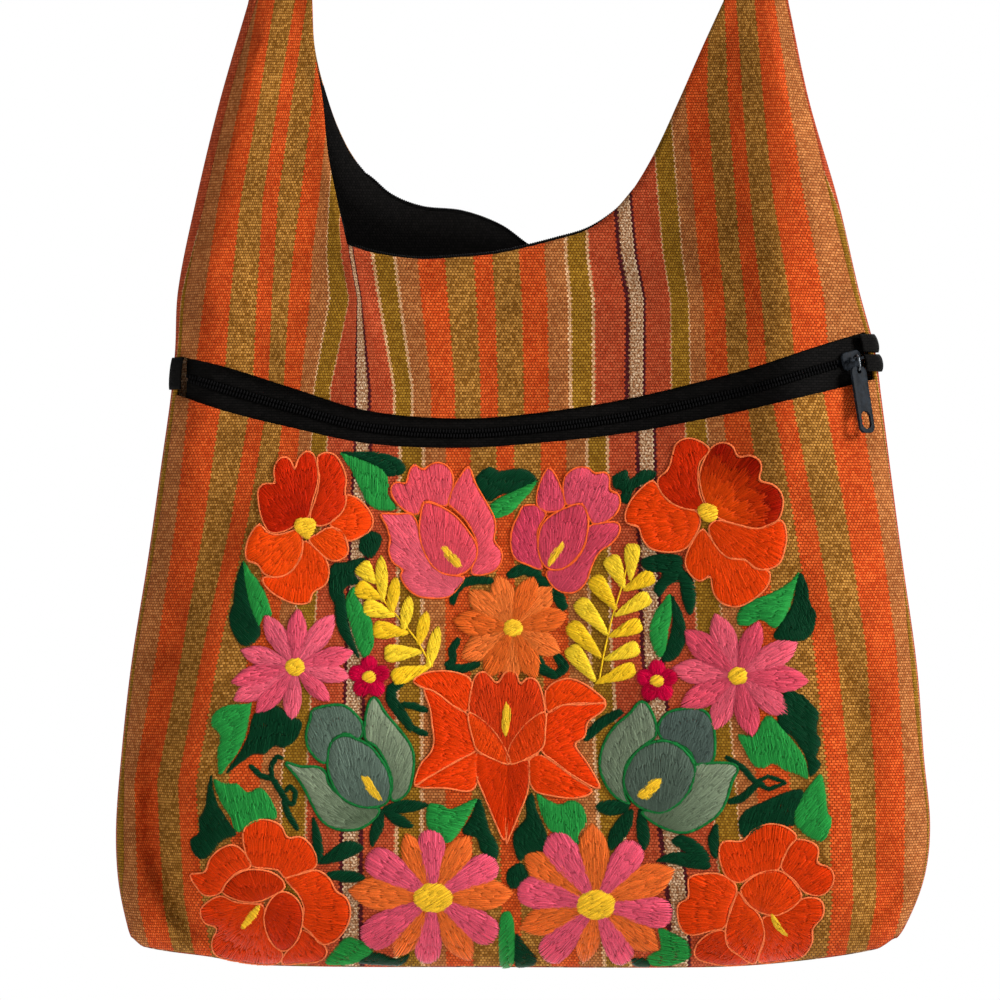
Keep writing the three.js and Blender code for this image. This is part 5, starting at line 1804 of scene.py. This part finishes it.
work_leaves("lower_right", LIGHT_GREEN, -40, (
    "122,22 126,22 132,29 137,35 141,42 142,50 137,48 131,46 126,43 122,45 117,44 113,37 110,30 117,30",
    "148,48 150,56 151,65 153,70 150,78 147,79 141,76 136,71 136,65 140,57 144,52",
    "17,57 22,60 28,62 33,60 38,63 40,70 36,76 36,81 29,77 23,74 19,66",
    "73,119 79,121 86,125 88,132 80,136 70,136 68,132 74,128",
    "0,115 5,112 7,124 6,136 0,136",
))
work_leaves("lower_right", DARK_GREEN, 40, (
    "131,10 138,11 143,15 147,20 146,28 148,33 146,40 148,44 143,49 141,40 135,31 128,24",
    "138,55 140,58 136,66 135,72 124,71 118,76 112,77 110,71 113,65 121,61 130,57",
    "79,79 84,76 92,80 97,87 92,88 84,83",
    "72,88 80,84 90,85 97,89 95,92 86,91 78,89",
    "96,77 100,71 101,79 100,87 97,84",
    "15,57 17,65 21,74 23,83 15,84 9,88 6,80 7,74 12,68 12,60",
    "61,133 68,133 69,137 62,137",
    "7,122 12,127 17,133 15,137 7,137",
    "4,92 10,89 13,97 6,101 3,97",
    "44,63 50,60 60,61 57,66 49,67",
    "61,64 61,71 57,78 51,83 50,76 55,68",
    "64,64 68,70 69,79 66,83 63,76",
))


def ribbon(line, half, count=14):
    """The outline of a curved stalk that narrows to both ends."""
    length = run_along(line)
    share = np.linspace(0, 1, count)
    spine = spots_along(line, length, share * length[-1])
    run = np.gradient(spine, axis=0)
    width = half * (0.45 + 0.55 * np.sin(np.pi * share) ** 0.5)
    aside = unit(np.stack([-run[:, 1], run[:, 0]], 1)) * width[:, None]
    return np.concatenate([spine + aside, (spine - aside)[::-1]])


for corner, half, text in (
    ("lower_left", 1.4, "33,45 38,50 44,52"),
    ("lower_left", 1.3, "44,53 43,46 46,41 49,42"),
    ("lower_left", 1.6, "43,50 48,58 51,63 54,64"),
    ("lower_left", 1.2, "54,64 55,58 52,55 50,58"),
    ("lower_left", 1.5, "49,61 51,68 56,76"),
    ("lower_right", 1.5, "104,40 112,45 117,51 122,53"),
    ("lower_right", 2.0, "119,52 112,59 105,61"),
    ("lower_right", 1.0, "117,52 124,49 132,52"),
    ("lower_right", 1.0, "117,52 124,55 132,52"),
    ("whole", 2.2, "452,605 454,593 462,583 475,580 495,581"),
    ("whole", 2.0, "459,638 452,650 453,661 445,666"),
    ("whole", 2.2, "446,667 463,669 480,663"),
    ("whole", 2.8, "404,681 391,689 391,700 402,715 413,731"),
    ("whole", 1.8, "401,704 414,706 428,711"),
    ("whole", 1.6, "412,727 420,732 428,734"),
    ("whole", 2.8, "507,576 523,569 541,575"),
    ("whole", 2.6, "535,576 543,582 550,590"),
    ("whole", 3.0, "549,586 558,596 565,610"),
    ("whole", 2.6, "536,655 542,669 558,677"),
    ("whole", 2.4, "556,676 565,667 555,654"),
    ("whole", 2.6, "584,740 601,723 622,711"),
):
    line = on_cloth(squares(text, corner))
    run = line[-1] - line[0]
    along = math.degrees(math.atan2(run[1], run[0]))
    leaves.petal(ribbon(line, half), DARK_GREEN, angle=along + 40, pad=0.6)
leaves.finish("leaves")

# Stage
# A wide pale floor under the hanging bag, a white surround, and soft studio lights: the key from the
# right, a weak fill from the left, one behind the bag and an even light from above.
FLOOR_Z = -1.2
FLOOR_RADIUS = 5.0
BAG_MIDDLE = Vector((0, 0, -0.47))

# Matt white paint: an even, dry white with faint cloudy patches.
PAPER, tree, shader = new_material("matt white floor", {"Roughness": 0.9})
speckled(tree, shader, ("#ECECEA", "#F6F6F4"), speck=1000 / 3)
bm = bmesh.new()
bmesh.ops.create_circle(bm, cap_ends=True, segments=96, radius=FLOOR_RADIUS)
bmesh.ops.translate(bm, verts=bm.verts, vec=(0, 0, FLOOR_Z))
mesh = bpy.data.meshes.new("floor")
bm.to_mesh(mesh)
bm.free()
floor = shown("floor", mesh, PAPER)

world = bpy.data.worlds.new("surround")
bpy.context.scene.world = world
world.use_nodes = True
tree = world.node_tree
tree.nodes.clear()
seen = add_node(tree, "ShaderNodeBackground", {"Color": (1, 1, 1, 1), "Strength": 1.0})
light = add_node(tree, "ShaderNodeBackground", {"Color": (1, 1, 1, 1), "Strength": 0.13})
rays = add_node(tree, "ShaderNodeLightPath")
mixed = add_node(
    tree, "ShaderNodeMixShader",
    {0: rays.outputs["Is Camera Ray"], 1: light.outputs[0], 2: seen.outputs[0]})
add_node(tree, "ShaderNodeOutputWorld", {"Surface": mixed.outputs[0]})

for name, spot, size, power in (
    ("key", (8.4, -3.2, 3.34), 3.6, 1290),
    ("fill", (-2.4, -2.0, 0.5), 1.6, 26),
    ("rear", (0.6, 2.6, 0.8), 2.0, 35),
):
    lamp = bpy.data.lights.new(name, "AREA")
    lamp.size = size
    lamp.energy = power
    holder = bpy.data.objects.new(name, lamp)
    holder.location = spot
    holder.rotation_euler = (BAG_MIDDLE - Vector(spot)).to_track_quat("-Z", "Y").to_euler()
    bpy.context.scene.collection.objects.link(holder)

sky = bpy.data.lights.new("sky", "SUN")
sky.energy = 1.7
sky.angle = 1.0
holder = bpy.data.objects.new("sky", sky)
holder.rotation_euler = (-0.25, 0, 0)
bpy.context.scene.collection.objects.link(holder)

camera = bpy.data.cameras.new("camera")
camera.sensor_width = 36
camera.lens = 288
camera.clip_end = 50
viewer = bpy.data.objects.new("camera", camera)
viewer.location = (EYE["x"] * MM, -EYE["away"] * MM, EYE["z"] * MM)
viewer.rotation_euler = (math.pi / 2, 0, 0)
bpy.context.scene.collection.objects.link(viewer)
bpy.context.scene.camera = viewer
bpy.context.scene.view_settings.view_transform = "Standard"
